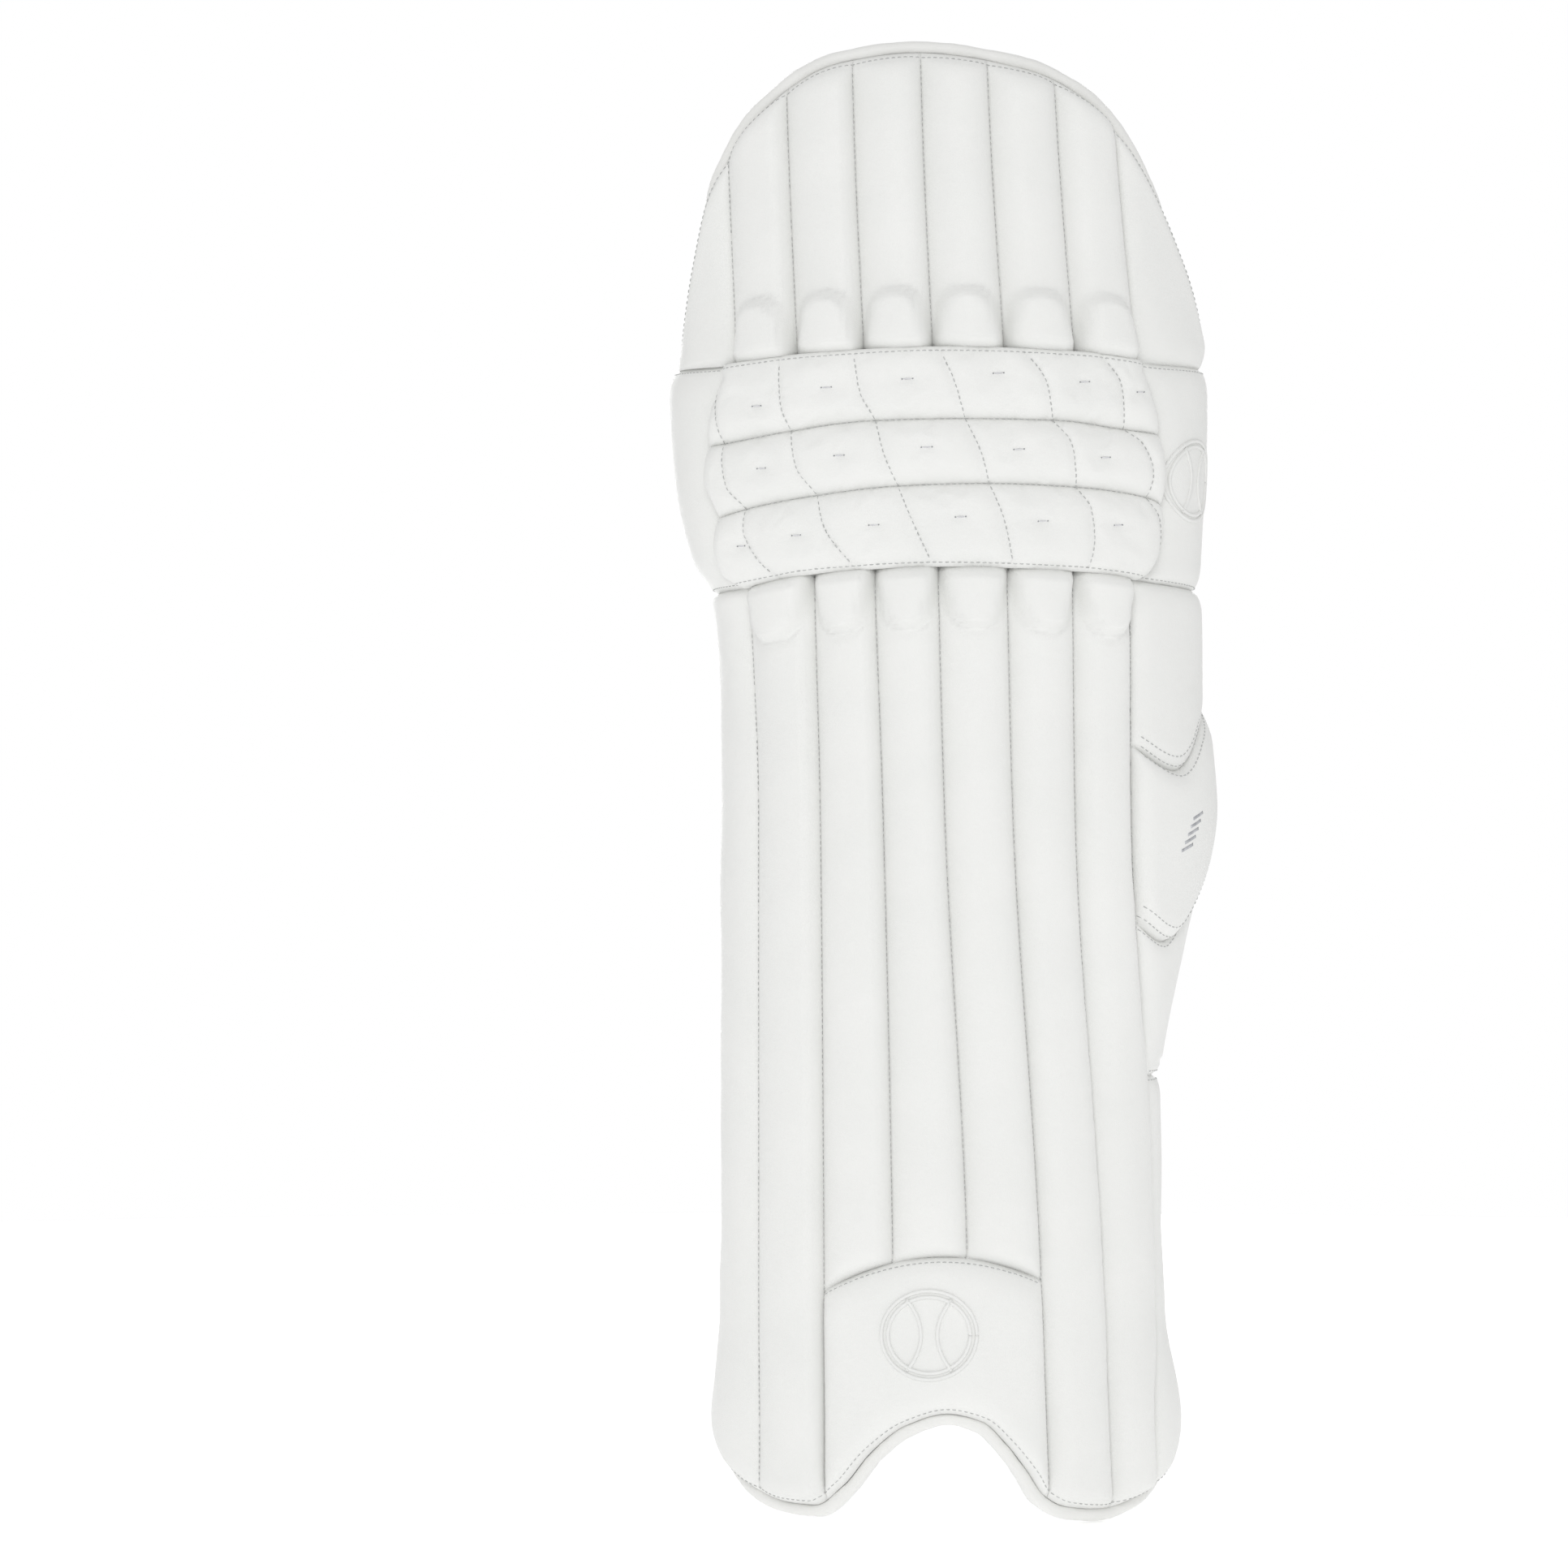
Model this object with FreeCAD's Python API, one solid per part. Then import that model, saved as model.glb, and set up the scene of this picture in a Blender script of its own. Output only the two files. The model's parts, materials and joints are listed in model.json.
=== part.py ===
"""Cricket batting leg pad, right-hand wing, in millimetres.

+Z up the leg, +Y towards the back of the leg, +X towards the outer wing. The origin is on the leg's axis,
level with the lowest tips. Each piece is a curved block laid on one form: a point of the form has an angle
phi round the leg (0 at the front, -90 at the inner side, +90 at the outer side), a height z, and a distance
n out of the backing board's front face (negative towards the leg).
"""
import FreeCAD, Part
import math
import os

Vector = FreeCAD.Vector

# ---- driving dimensions --------------------------------------------------------------------------
KNEE_SEAM_LOW = 494.0      # middle of the flex gap between shin and knee roll
KNEE_SEAM_HIGH = 608.0     # middle of the flex gap between knee roll and top hat
FLEX_GAP = 8.0             # free height of each flex gap
EDGE_PHI_SHIN = 116.0      # how far the shin's board wraps round the leg on each side
EDGE_PHI_KNEE = 111.0
EDGE_PHI_HAT = 88.0

BOARD = 6.0                # foam board behind the ribs
LAYER_GAP = 0.5            # free play between stitched layers
LINING = 2.6
LINING_LAYER = (-BOARD - LAYER_GAP - LINING, -BOARD - LAYER_GAP)    # the lining's two faces
COVER = 1.0                # face leather
RIB_EDGE = 3.0             # rib thickness at its seams
RIB_CROWN = 9.0            # extra rib thickness at its middle
BOSS = 4.0                 # how far a rib's swollen knee end stands above the rib
BOSS_LENGTH = 32.0
SEAM_HALF = 0.5            # half of the gap between neighbouring ribs
BINDING_RADIUS = 3.0
BINDING_OUT = 4.0          # from the board's edge out to the binding's centre
BINDING_ROOM = 7.0         # height of the outline that the binding takes
FOOT_CORNER = 106.0        # where the shin's rear edges turn into the foot's outline

TAG_Z = 578.0              # the size tag: height of its middle, then how far it stands out of the edge
TAG_REACH = 21.0
TAG_THICK = 0.6
TAG_WIDE = 15.0

INSTEP_TOP = 140.0
WING_END = 232.0
ROLL_END_IN = -58.0        # the knee rolls' ends, as angles
ROLL_END_OUT = 57.0
ROLL_EDGE = 7.0
ROLL_CROWN = 13.0

PANEL_TOP = 486.0
PANEL_FOOT = 128.0
STRAP_BULGE = 18.0         # how far a closed strap bulges behind its two ends
STRAP_CLEAR = 3.5          # from the outer wing's binding to the webbing that passes over it
LOOP_STRAP = 4.0           # thickness of a padded loop strap
HOOK_TAPE = 1.2
WEBBING = 1.8
TAB = 2.4
STRAP_INSET = 11.5         # from a wing's rear edge in to a strap's root
LOOP_BEND = 36.0           # length over which a loop strap bends in to its root

# ---- the form: (height, value) knots -------------------------------------------------------------
HALF_WIDTH_IN = [(0, 106), (50, 112), (110, 107.5), (230, 107), (420, 107), (468, 109.5), (490, 113.5),
                 (506, 122), (545, 131), (590, 134), (620, 133), (700, 130), (775, 128)]
HALF_WIDTH_OUT = [(0, 113), (50, 117), (110, 108), (225, 106), (300, 119), (375, 133), (425, 129),
                  (480, 128), (545, 131), (590, 132), (620, 133), (775, 132)]
DEPTH = [(0, 66), (110, 70), (480, 72), (560, 76), (620, 76), (775, 62)]
FRONT_Y = [(0, -84), (60, -81), (150, -79), (430, -79), (500, -83), (560, -87), (620, -85), (700, -79),
           (775, -69)]
CENTRE_X = [(0, 0), (612, 0), (700, -6), (775, -10)]
# outline of the hat's dome and of the foot, as (angle, height)
HAT_EDGE = [(-90, 618), (-81, 628), (-69, 666), (-58, 709), (-43, 743), (-20, 770), (-2, 775), (23, 767),
            (40, 750), (53, 722), (69, 671), (78, 641), (90, 620)]
FOOT_EDGE = [(-118, 95), (-105, 60), (-90, 34), (-62, 8.5), (-46, 3), (-38, 2.6), (-28, 13.7), (-19, 32),
             (-10, 45), (1, 51.3), (10, 47), (16, 36), (22, 21.4), (27, 8.5), (34, 2), (46, 0), (61, 4.3),
             (75, 12.8), (90, 30), (105, 60), (118, 95)]
# seams between ribs, left to right: (height, x) knots
SHIN_SEAMS = [
    [(0, -92.5), (140, -92.7), (372, -92.7), (487, -97)],
    [(0, -59.6), (140, -60.2), (372, -62), (487, -65)],
    [(0, -24), (140, -25.6), (372, -30.5), (487, -34.6)],
    [(0, 14), (140, 12), (372, 0.6), (487, -2.6)],
    [(0, 54.5), (140, 49.1), (372, 35.5), (487, 32.5)],
    [(0, 86.7), (140, 80.5), (372, 67.5), (487, 66)],
    [(0, 107), (140, 104), (200, 102.5), (372, 96), (487, 95)],
]
HAT_SEAMS = [
    [(612, -105), (715, -109.5), (775, -112)],
    [(612, -74.3), (715, -79), (775, -81)],
    [(612, -40.6), (715, -45.3), (775, -47)],
    [(612, -5.6), (715, -10.3), (775, -12)],
    [(612, 30.8), (715, 24.4), (775, 22)],
    [(612, 66.6), (715, 59), (775, 56)],
    [(612, 97.8), (715, 88.4), (775, 85)],
]
# the outer wing's two chevron seams, as (angle, height)
CHEVRON_UPPER = [(40, 415), (63, 393), (80, 412), (116, 446)]
CHEVRON_LOWER = [(40, 330), (68, 303), (86, 330), (116, 366)]
# straps: the lowest and highest point of the loop strap and of the webbing; x of the pull tab's or patch's
# ends, of the webbing's end, of the peel line and of the loop strap's free end; and the wing's edge angle
STRAPS = {
    "top": dict(loop=(506, 544), web=(514.5, 545.5), tab_x=104, tip_x=119, web_x=104, peel_x=20,
                loop_end_x=-58, phi=EDGE_PHI_KNEE),
    "middle": dict(loop=(345, 413), web=(350, 412), tab_x=-16, tip_x=117, web_x=95, peel_x=-18,
                   loop_end_x=-38, phi=EDGE_PHI_SHIN),
    "bottom": dict(loop=(134, 200), web=(137.5, 197), tab_x=40, tip_x=76, web_x=40, peel_x=8,
                   loop_end_x=-34, phi=EDGE_PHI_SHIN),
}


# ---- curves and the form -------------------------------------------------------------------------
def along(knots, t):
    """The smooth curve through (t, value) knots: monotone cubic, held flat past its ends."""
    if t <= knots[0][0]:
        return float(knots[0][1])
    if t >= knots[-1][0]:
        return float(knots[-1][1])
    steps = [(b[0] - a[0], (b[1] - a[1]) / (b[0] - a[0])) for a, b in zip(knots, knots[1:])]

    def slope(i):
        if i in (0, len(knots) - 1):
            return steps[min(i, len(steps) - 1)][1]
        (h0, d0), (h1, d1) = steps[i - 1], steps[i]
        if d0 * d1 <= 0:
            return 0.0
        return (h0 + h1) * 3 / ((2 * h1 + h0) / d0 + (h1 + 2 * h0) / d1)

    i = max(k for k in range(len(steps)) if knots[k][0] <= t)
    h, s = steps[i][0], (t - knots[i][0]) / steps[i][0]
    return (knots[i][1] * (1 + 2 * s) * (1 - s) ** 2 + slope(i) * h * s * (1 - s) ** 2
            + knots[i + 1][1] * s * s * (3 - 2 * s) - slope(i + 1) * h * s * s * (1 - s))


def half_width(phi, z):
    return along(HALF_WIDTH_IN if phi < 0 else HALF_WIDTH_OUT, z)


def form(phi, z, n):
    """The point at angle phi, height z and distance n out of the board's front face."""
    w, d, p = half_width(phi, z), along(DEPTH, z), math.radians(phi)
    nx, ny = d * math.sin(p), -w * math.cos(p)
    size = math.hypot(nx, ny)
    return Vector(along(CENTRE_X, z) + w * math.sin(p) + n * nx / size,
                  along(FRONT_Y, z) + d * (1 - math.cos(p)) + n * ny / size, z)


def angle_at(x, z):
    """The angle whose front-view place at height z is x."""
    s = (x - along(CENTRE_X, z)) / half_width(x - along(CENTRE_X, z), z)
    return math.degrees(math.asin(max(-1.0, min(1.0, s))))


def seam(knots, shift=0.0):
    """A seam given by its front-view x, as an angle at each height; shift moves it along the surface."""
    return lambda z: angle_at(along(knots, z), z) + math.degrees(shift / half_width(0, z))


def shifted(value, shift):
    """value(z), an angle, moved by shift millimetres along the surface."""
    call = value if callable(value) else (lambda z: value)
    return lambda z: call(z) + math.degrees(shift / along(DEPTH, z)) * 0.8


# ---- solids --------------------------------------------------------------------------------------
def surface(grid):
    made = Part.BSplineSurface()
    made.interpolate(grid)
    return made


def closed_solid(faces):
    shell = Part.makeShell(faces)
    shell.sewShape()
    solid = Part.makeSolid(shell)
    if solid.Volume < 0:
        solid.reverse()
    return solid


def between(outer_grid, inner_grid):
    """The closed solid between two grids of points, with ruled sides."""
    outer, inner = surface(outer_grid), surface(inner_grid)
    faces = [outer.toShape(), inner.toShape()]
    ou0, ou1, ov0, ov1 = outer.bounds()
    iu0, iu1, iv0, iv1 = inner.bounds()
    for a, b in ((outer.uIso(ou0), inner.uIso(iu0)), (outer.uIso(ou1), inner.uIso(iu1)),
                 (outer.vIso(ov0), inner.vIso(iv0)), (outer.vIso(ov1), inner.vIso(iv1))):
        faces.append(Part.makeRuledSurface(a.toShape(), b.toShape()))
    return closed_solid(faces)


def block(phi_low, phi_high, z_low, z_high, n_in, n_out, across=7, up=11):
    """A curved block on the form. The angles may depend on height, the heights on angle, and the thicknesses
    on (share across, share up, angle, height)."""
    def call(value, *given):
        return value(*given) if callable(value) else value

    grids = ([], [])
    for i in range(across):
        a = i / (across - 1)
        rows = ([], [])
        for j in range(up):
            b = j / (up - 1)
            z = phi = 0.0
            z = call(z_low, 0.0) * (1 - b) + call(z_high, 0.0) * b
            for _ in range(12):
                phi = call(phi_low, z) * (1 - a) + call(phi_high, z) * a
                z = call(z_low, phi) * (1 - b) + call(z_high, phi) * b
            for row, n in zip(rows, (n_out, n_in)):
                row.append(form(phi, z, call(n, a, b, phi, z)))
        grids[0].append(rows[0])
        grids[1].append(rows[1])
    return between(*grids)


def tube(path, radius):
    """A round tube along points: two surfaces, each nearly half of its round, and narrow strips between."""
    halves = ([], [])
    for k, p in enumerate(path):
        ahead = (path[min(k + 1, len(path) - 1)] - path[max(k - 1, 0)]).normalize()
        side = ahead.cross(Vector(0, 1, 0)).normalize()
        lift = ahead.cross(side)
        for half, sign in zip(halves, (1, -1)):
            turns = [math.radians(q) for q in range(15, 166, 25)]
            half.append([p + (side * math.cos(q) + lift * sign * math.sin(q)) * radius for q in turns])
    return between(*halves)


def rim(edge, phis, out, sign):
    """Points beside an outline z = edge(phi), moved by out: above it for sign 1, below it for sign -1."""
    points = []
    for phi in phis:
        z, step = edge(phi), 0.5
        p = math.radians(phi)
        stretch = math.radians(math.hypot(half_width(phi, z) * math.cos(p), along(DEPTH, z) * math.sin(p)))
        rise, run = (edge(phi + step) - edge(phi - step)) / (2 * step), stretch
        size = math.hypot(rise, run)
        beside = (phi - sign * out * rise / size / stretch, z + sign * out * run / size)
        points.append(form(*beside, -BOARD / 2))
    return points


def side_edge(side, edge_phi, heights):
    """The binding's centre along a section's rear edge; side is -1 at the inner side, 1 at the outer one."""
    points = []
    for z in heights:
        p = math.radians(edge_phi)
        stretch = math.hypot(half_width(side, z) * math.cos(p), along(DEPTH, z) * math.sin(p))
        points.append(form(side * (edge_phi + math.degrees(BINDING_OUT / stretch)), z, -BOARD / 2))
    return points


def export(name, *solids):
    shape = solids[0] if len(solids) == 1 else Part.makeCompound(list(solids))
    for k, solid in enumerate(solids):
        if not (solid.isValid() and solid.isClosed()):
            print("not a good solid:", name, k)
    shape.exportStep("parts/" + name + ".step")


# ---- thickness laws ------------------------------------------------------------------------------
def smooth_step(t):
    t = max(0.0, min(1.0, t))
    return t * t * (3 - 2 * t)


def rib_top(boss_at=None, crown=RIB_CROWN, lift=0.0):
    """A rib's outer face: crowned across, with a boss within BOSS_LENGTH of the height boss_at."""
    def law(a, b, phi, z):
        arch = math.sin(math.pi * a) ** 0.7 if 0 < a < 1 else 0.0
        boss = 0.0 if boss_at is None else smooth_step((BOSS_LENGTH - abs(z - boss_at)) / 12.0)
        return LAYER_GAP + RIB_EDGE + arch * (crown + BOSS * boss) + lift
    return law


def pad_top(thick, edge=4.0, lift=0.0):
    """A soft pad's outer face: full thickness in the middle, edge at all four sides."""
    def law(a, b, phi, z):
        arch = (max(0.0, math.sin(math.pi * a)) * max(0.0, math.sin(math.pi * b))) ** 0.4
        return edge + (thick - edge) * arch + lift
    return law


def inward(law, depth):
    """The same law counted from depth towards the leg."""
    return lambda a, b, phi, z: -depth - law(a, b, phi, z)


# ---- the pad's sections --------------------------------------------------------------------------
def hat_top(phi):
    return along(HAT_EDGE, phi) - BINDING_ROOM


def foot_bottom(phi):
    return along(FOOT_EDGE, phi) + BINDING_ROOM


def instep_top(phi):
    return INSTEP_TOP - 12.0 * (math.sin(math.radians(phi)) / 0.45) ** 2


def ribs_and_cover(section, bounds, boss_at, tops, bottoms, rows, wide_crown=6.0):
    """One section's ribs, each its own node, and its face cover, which is a skin over every rib."""
    skins = []
    for k in range(len(bounds) - 1):
        side = k == 0
        low, high = shifted(bounds[k], SEAM_HALF), shifted(bounds[k + 1], -SEAM_HALF)
        crown = wide_crown if side else RIB_CROWN
        place = (low, high, bottoms[k], tops[k])
        export(f"{section}_rib_{k + 1}", block(*place, LAYER_GAP, rib_top(boss_at, crown), 7, rows))
        under, over = (rib_top(boss_at, crown, lift) for lift in (LAYER_GAP, LAYER_GAP + COVER))
        skins.append(block(*place, under, over, 7, rows))
    return skins


def top_hat():
    low = KNEE_SEAM_HIGH + FLEX_GAP / 2
    bounds = [-EDGE_PHI_HAT] + [seam(s) for s in HAT_SEAMS]
    skins = ribs_and_cover("hat", bounds, low, [hat_top] * 7, [low] * 7, 13)
    side = (shifted(bounds[-1], SEAM_HALF), EDGE_PHI_HAT, low, hat_top)
    export("hat_side_pad", block(*side, LAYER_GAP, pad_top(8.0)))
    skins.append(block(*side, pad_top(8.0, lift=LAYER_GAP), pad_top(8.0, lift=LAYER_GAP + COVER)))
    export("hat_face_cover", *skins)
    export("hat_core", block(-EDGE_PHI_HAT, EDGE_PHI_HAT, low, hat_top, -BOARD, 0.0, 21, 9))
    export("hat_lining", block(-EDGE_PHI_HAT, EDGE_PHI_HAT, low, hat_top, *LINING_LAYER, 21, 9))
    phis = [EDGE_PHI_HAT * (k / 22 - 1) for k in range(45)]
    export("hat_binding", tube(rim(hat_top, phis, BINDING_OUT, 1), BINDING_RADIUS))


def knee():
    low, high = KNEE_SEAM_LOW + FLEX_GAP / 2, KNEE_SEAM_HIGH - FLEX_GAP / 2
    span = high - low
    edge = EDGE_PHI_KNEE
    export("knee_core", block(-edge, edge, low, high, -BOARD, 0.0, 31, 11))
    export("knee_lining", block(-edge, edge, low, high, *LINING_LAYER, 31, 9))
    skins = []
    for k, name in enumerate(("lower", "middle", "upper")):
        z0, z1 = low + span * k / 3 + SEAM_HALF, low + span * (k + 1) / 3 - SEAM_HALF

        def law(lift):
            def height(a, b, phi, z):
                arch = max(0.0, math.sin(math.pi * b)) ** 0.7 * max(0.0, math.sin(math.pi * a)) ** 0.25
                return ROLL_EDGE + lift + ROLL_CROWN * arch
            return height
        place = (ROLL_END_IN, ROLL_END_OUT, z0, z1)
        export(f"knee_roll_{name}", block(*place, LAYER_GAP, law(0.0), 15, 9))
        skins.append(block(*place, law(LAYER_GAP), law(LAYER_GAP + COVER), 15, 9))
    export("knee_roll_cover", *skins)
    for name, a, b in (("inner", -edge, ROLL_END_IN - 1.0), ("outer", ROLL_END_OUT + 1.0, edge)):
        export(f"knee_side_pad_{name}", block(a, b, low, high, LAYER_GAP, pad_top(8.0)))
    back = BOARD + 2 * LAYER_GAP + LINING
    export("knee_cup", block(-26, 17, low, high - 2, inward(pad_top(15.0), back), -back))
    for name, a, b in (("inner", -88, -28), ("outer", 19, 88)):
        export(f"knee_flap_{name}", block(a, b, low, high - 2, inward(pad_top(12.0), back), -back))
    heights = [low + span * k / 8 for k in range(9)]
    export("knee_binding", *[tube(side_edge(side, edge, heights), BINDING_RADIUS) for side in (-1, 1)])
    root = side_edge(1, edge, [TAG_Z])[0]
    tag = Part.makeBox(TAG_REACH, TAG_THICK, TAG_WIDE)
    tag.translate(root + Vector(0, BINDING_RADIUS + LAYER_GAP, -TAG_WIDE / 2))
    export("size_tag", tag)


def shin():
    high = KNEE_SEAM_LOW - FLEX_GAP / 2
    edge = EDGE_PHI_SHIN
    seams = [seam(s) for s in SHIN_SEAMS]
    bounds = [-edge] + seams
    over_instep = [lambda phi: instep_top(phi) + 1.0] * 3
    bottoms = [foot_bottom, foot_bottom] + over_instep + [foot_bottom, foot_bottom]
    skins = ribs_and_cover("shin", bounds, high, [high] * 7, bottoms, 37)

    # the outer wing: three chevron pads, and a side rib below them
    def chevron(knots, shift):
        return lambda phi: along(knots, phi) + shift
    start = shifted(seams[6], SEAM_HALF)
    wing = {
        "wing_pad_upper": (start, edge, chevron(CHEVRON_UPPER, 1.0), high, 6.0),
        "wing_pad_middle": (start, edge, chevron(CHEVRON_LOWER, 1.0), chevron(CHEVRON_UPPER, -1.0), 11.0),
        "wing_pad_lower": (start, edge, WING_END + 1.0, chevron(CHEVRON_LOWER, -1.0), 7.0),
        "wing_foot_rib": (start, edge, foot_bottom, WING_END - 1.0, 6.0),
    }
    for name, (*place, thick) in wing.items():
        rows = 23 if name == "wing_foot_rib" else 15
        export(name, block(*place, LAYER_GAP, pad_top(thick), 15, rows))
        under, over = (pad_top(thick, lift=lift) for lift in (LAYER_GAP, LAYER_GAP + COVER))
        skins.append(block(*place, under, over, 15, rows))
    instep = (shifted(seams[1], SEAM_HALF), shifted(seams[4], -SEAM_HALF), foot_bottom, instep_top)
    export("instep_block", block(*instep, LAYER_GAP, pad_top(11.0), 17, 11))
    under, over = (pad_top(11.0, lift=lift) for lift in (LAYER_GAP, LAYER_GAP + COVER))
    skins.append(block(*instep, under, over, 17, 11))
    export("shin_face_cover", *skins)

    export("shin_core", block(-edge, edge, foot_bottom, high, -BOARD, 0.0, 59, 41))
    export("shin_lining", block(-edge, edge, foot_bottom, high, *LINING_LAYER, 59, 41))

    # cushions against the leg
    back = BOARD + 2 * LAYER_GAP + LINING
    export("shin_panel", block(-20, 13.5, PANEL_FOOT, PANEL_TOP, inward(pad_top(12.0), back), -back, 9, 31))
    bolsters = {
        "bolster_outer": (lambda z: 15.0, lambda z: along([(PANEL_FOOT, 40), (PANEL_TOP, 57)], z)),
        "bolster_inner": (lambda z: -along([(PANEL_FOOT, 42), (PANEL_TOP, 58)], z), lambda z: -21.5),
    }
    for name, (a, b) in bolsters.items():
        export(name, block(a, b, PANEL_FOOT, PANEL_TOP, inward(pad_top(27.0, 9.0), back), -back, 11, 31))
    ankles = [block(a, b, foot_bottom, PANEL_FOOT - 2.0, inward(pad_top(6.0, 3.0), back), -back, 15, 11)
              for a, b in ((-80, -39), (-37.5, 14), (15.5, 80))]
    export("ankle_lining_pads", *ankles)

    # binding: up both rear edges and round the foot
    heights = [high - (high - FOOT_CORNER) * k / 36 for k in range(37)]
    phis = [(edge - 1.0) * (k / 38 - 1) for k in range(77)]
    foot = rim(foot_bottom, phis, BINDING_OUT, -1)
    path = side_edge(-1, edge, heights) + foot + side_edge(1, edge, heights[::-1])
    export("shin_binding", tube(path, BINDING_RADIUS))


# ---- straps --------------------------------------------------------------------------------------
def strap_arc(spec):
    """The arc, seen from above, that a closed strap's webbing lies on: from its root inside the inner wing,
    behind the leg, to over the outer wing's rear edge. Gives its centre, its radius, and both roots."""
    z = sum(spec["web"]) / 2
    inner = form(-spec["phi"], z, 0) + Vector(STRAP_INSET, -3.0, 0)
    outer = side_edge(1, spec["phi"], [z])[0] + Vector(0, BINDING_RADIUS + STRAP_CLEAR, 0)
    loop_root = form(spec["phi"], z, 0) + Vector(-STRAP_INSET, -3.0, 0)
    chord = outer - inner
    radius = (chord.Length ** 2 / 4 + STRAP_BULGE ** 2) / (2 * STRAP_BULGE)
    rearward = Vector(-chord.y, chord.x, 0).normalize()
    return (inner + outer) * 0.5 - rearward * (radius - STRAP_BULGE), radius, inner, loop_root


def strip(arc, x0, x1, z0, z1, r0, r1, point=0.0, sharp=2.2, bend=0.0):
    """A curved strip between distances r0 and r1 out of the arc. point narrows the x1 end, the more abruptly
    the larger sharp is; bend turns the last LOOP_BEND forward by that much, towards the leg."""
    centre, radius = arc[:2]
    grids = ([], [])
    count = max(7, int(abs(x1 - x0) / 9))
    for i in range(count):
        s = i / (count - 1)
        x = x0 + (x1 - x0) * s
        narrow = 1 - point * s ** sharp
        forward = bend * smooth_step((x - x1 + LOOP_BEND) / LOOP_BEND) if bend else 0.0
        angle = math.asin((x - centre.x) / radius)
        for grid, r in zip(grids, (radius + r1, radius + r0)):
            px, py = centre.x + r * math.sin(angle), centre.y + r * math.cos(angle) - forward
            zc, hz = (z0 + z1) / 2, (z1 - z0) / 2 * narrow
            grid.append([Vector(px, py, zc + hz * (2 * j / 4 - 1)) for j in range(5)])
    return between(*grids)


def straps():
    for name, spec in STRAPS.items():
        arc = strap_arc(spec)
        centre, radius, root, loop_root = arc
        z0, z1 = spec["web"]
        end = spec["web_x"]
        export(f"{name}_strap_webbing", strip(arc, root.x + 1, spec["peel_x"] - 0.4, z0, z1, 0, WEBBING))
        export(f"{name}_strap_end", strip(arc, spec["peel_x"] + 0.4, end, z0, z1, 0, WEBBING))
        hooks = strip(arc, spec["peel_x"] + 6, end - 12, z0 + 3, z1 - 3, -0.3 - HOOK_TAPE, -0.3)
        export(f"{name}_hook_tape", hooks)
        if name == "middle":
            lift = WEBBING + 0.3
            tab = strip(arc, spec["tab_x"], spec["tip_x"], z0 + 1, z1 - 1, lift, lift + TAB, 0.9, 7.0)
        else:
            tab = strip(arc, end + 0.3, spec["tip_x"], z0 + 1, z1 - 1, 0, TAB, 0.86)
        export(f"{name}_pull_tab", tab)
        outer = -0.3 - HOOK_TAPE - LAYER_GAP
        angle = math.asin((loop_root.x - centre.x) / radius)
        bend = centre.y + (radius + outer) * math.cos(angle) - loop_root.y
        loop = (spec["loop_end_x"], loop_root.x, *spec["loop"], outer - LOOP_STRAP, outer)
        export(f"{name}_loop_strap", strip(arc, *loop, bend=bend))


os.makedirs("parts", exist_ok=True)
top_hat()
knee()
shin()
straps()
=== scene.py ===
"""Looks of a cricket batting leg pad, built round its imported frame.

Frame: +Z up the leg, +Y towards the back of the leg, +X towards the outer wing, origin on the leg's axis level with
the foot tips. Sizes in this script are in millimetres and become metres in mesh_object. A place on the pad is an
angle phi round the leg (0 at the front), a height z, and a distance n out of the backing board's front face.
"""
import json
import math

import bmesh
import bpy
import numpy as np
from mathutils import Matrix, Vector
from mathutils.bvhtree import BVHTree

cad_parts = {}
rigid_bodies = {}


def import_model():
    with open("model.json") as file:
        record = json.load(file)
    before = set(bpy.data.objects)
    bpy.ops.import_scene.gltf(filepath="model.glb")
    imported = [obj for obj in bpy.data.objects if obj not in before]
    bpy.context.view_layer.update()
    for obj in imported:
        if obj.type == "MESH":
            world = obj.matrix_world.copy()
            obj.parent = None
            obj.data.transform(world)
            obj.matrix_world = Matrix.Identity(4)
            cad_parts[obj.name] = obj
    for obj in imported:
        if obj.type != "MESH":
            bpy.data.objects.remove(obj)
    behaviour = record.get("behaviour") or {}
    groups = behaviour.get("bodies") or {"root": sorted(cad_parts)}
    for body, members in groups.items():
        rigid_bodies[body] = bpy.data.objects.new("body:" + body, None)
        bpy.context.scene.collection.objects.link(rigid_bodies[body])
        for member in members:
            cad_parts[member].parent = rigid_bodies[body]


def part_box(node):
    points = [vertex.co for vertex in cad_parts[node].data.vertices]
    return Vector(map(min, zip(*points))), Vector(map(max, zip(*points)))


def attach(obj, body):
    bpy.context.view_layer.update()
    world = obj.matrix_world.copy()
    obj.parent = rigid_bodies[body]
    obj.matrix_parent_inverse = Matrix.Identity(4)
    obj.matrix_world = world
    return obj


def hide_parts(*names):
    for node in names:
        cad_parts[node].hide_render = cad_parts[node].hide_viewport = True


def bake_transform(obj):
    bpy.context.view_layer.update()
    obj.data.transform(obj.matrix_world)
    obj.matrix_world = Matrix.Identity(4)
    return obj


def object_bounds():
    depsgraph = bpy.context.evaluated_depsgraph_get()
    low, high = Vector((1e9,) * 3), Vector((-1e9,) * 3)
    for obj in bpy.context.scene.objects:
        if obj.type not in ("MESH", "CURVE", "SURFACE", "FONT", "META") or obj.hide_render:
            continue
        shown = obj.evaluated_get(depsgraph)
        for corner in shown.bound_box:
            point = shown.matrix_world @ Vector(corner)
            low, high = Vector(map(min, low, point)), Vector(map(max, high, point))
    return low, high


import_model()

CAD_BOX = [list(map(float, corner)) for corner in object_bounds()]
MM = 0.001

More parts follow.
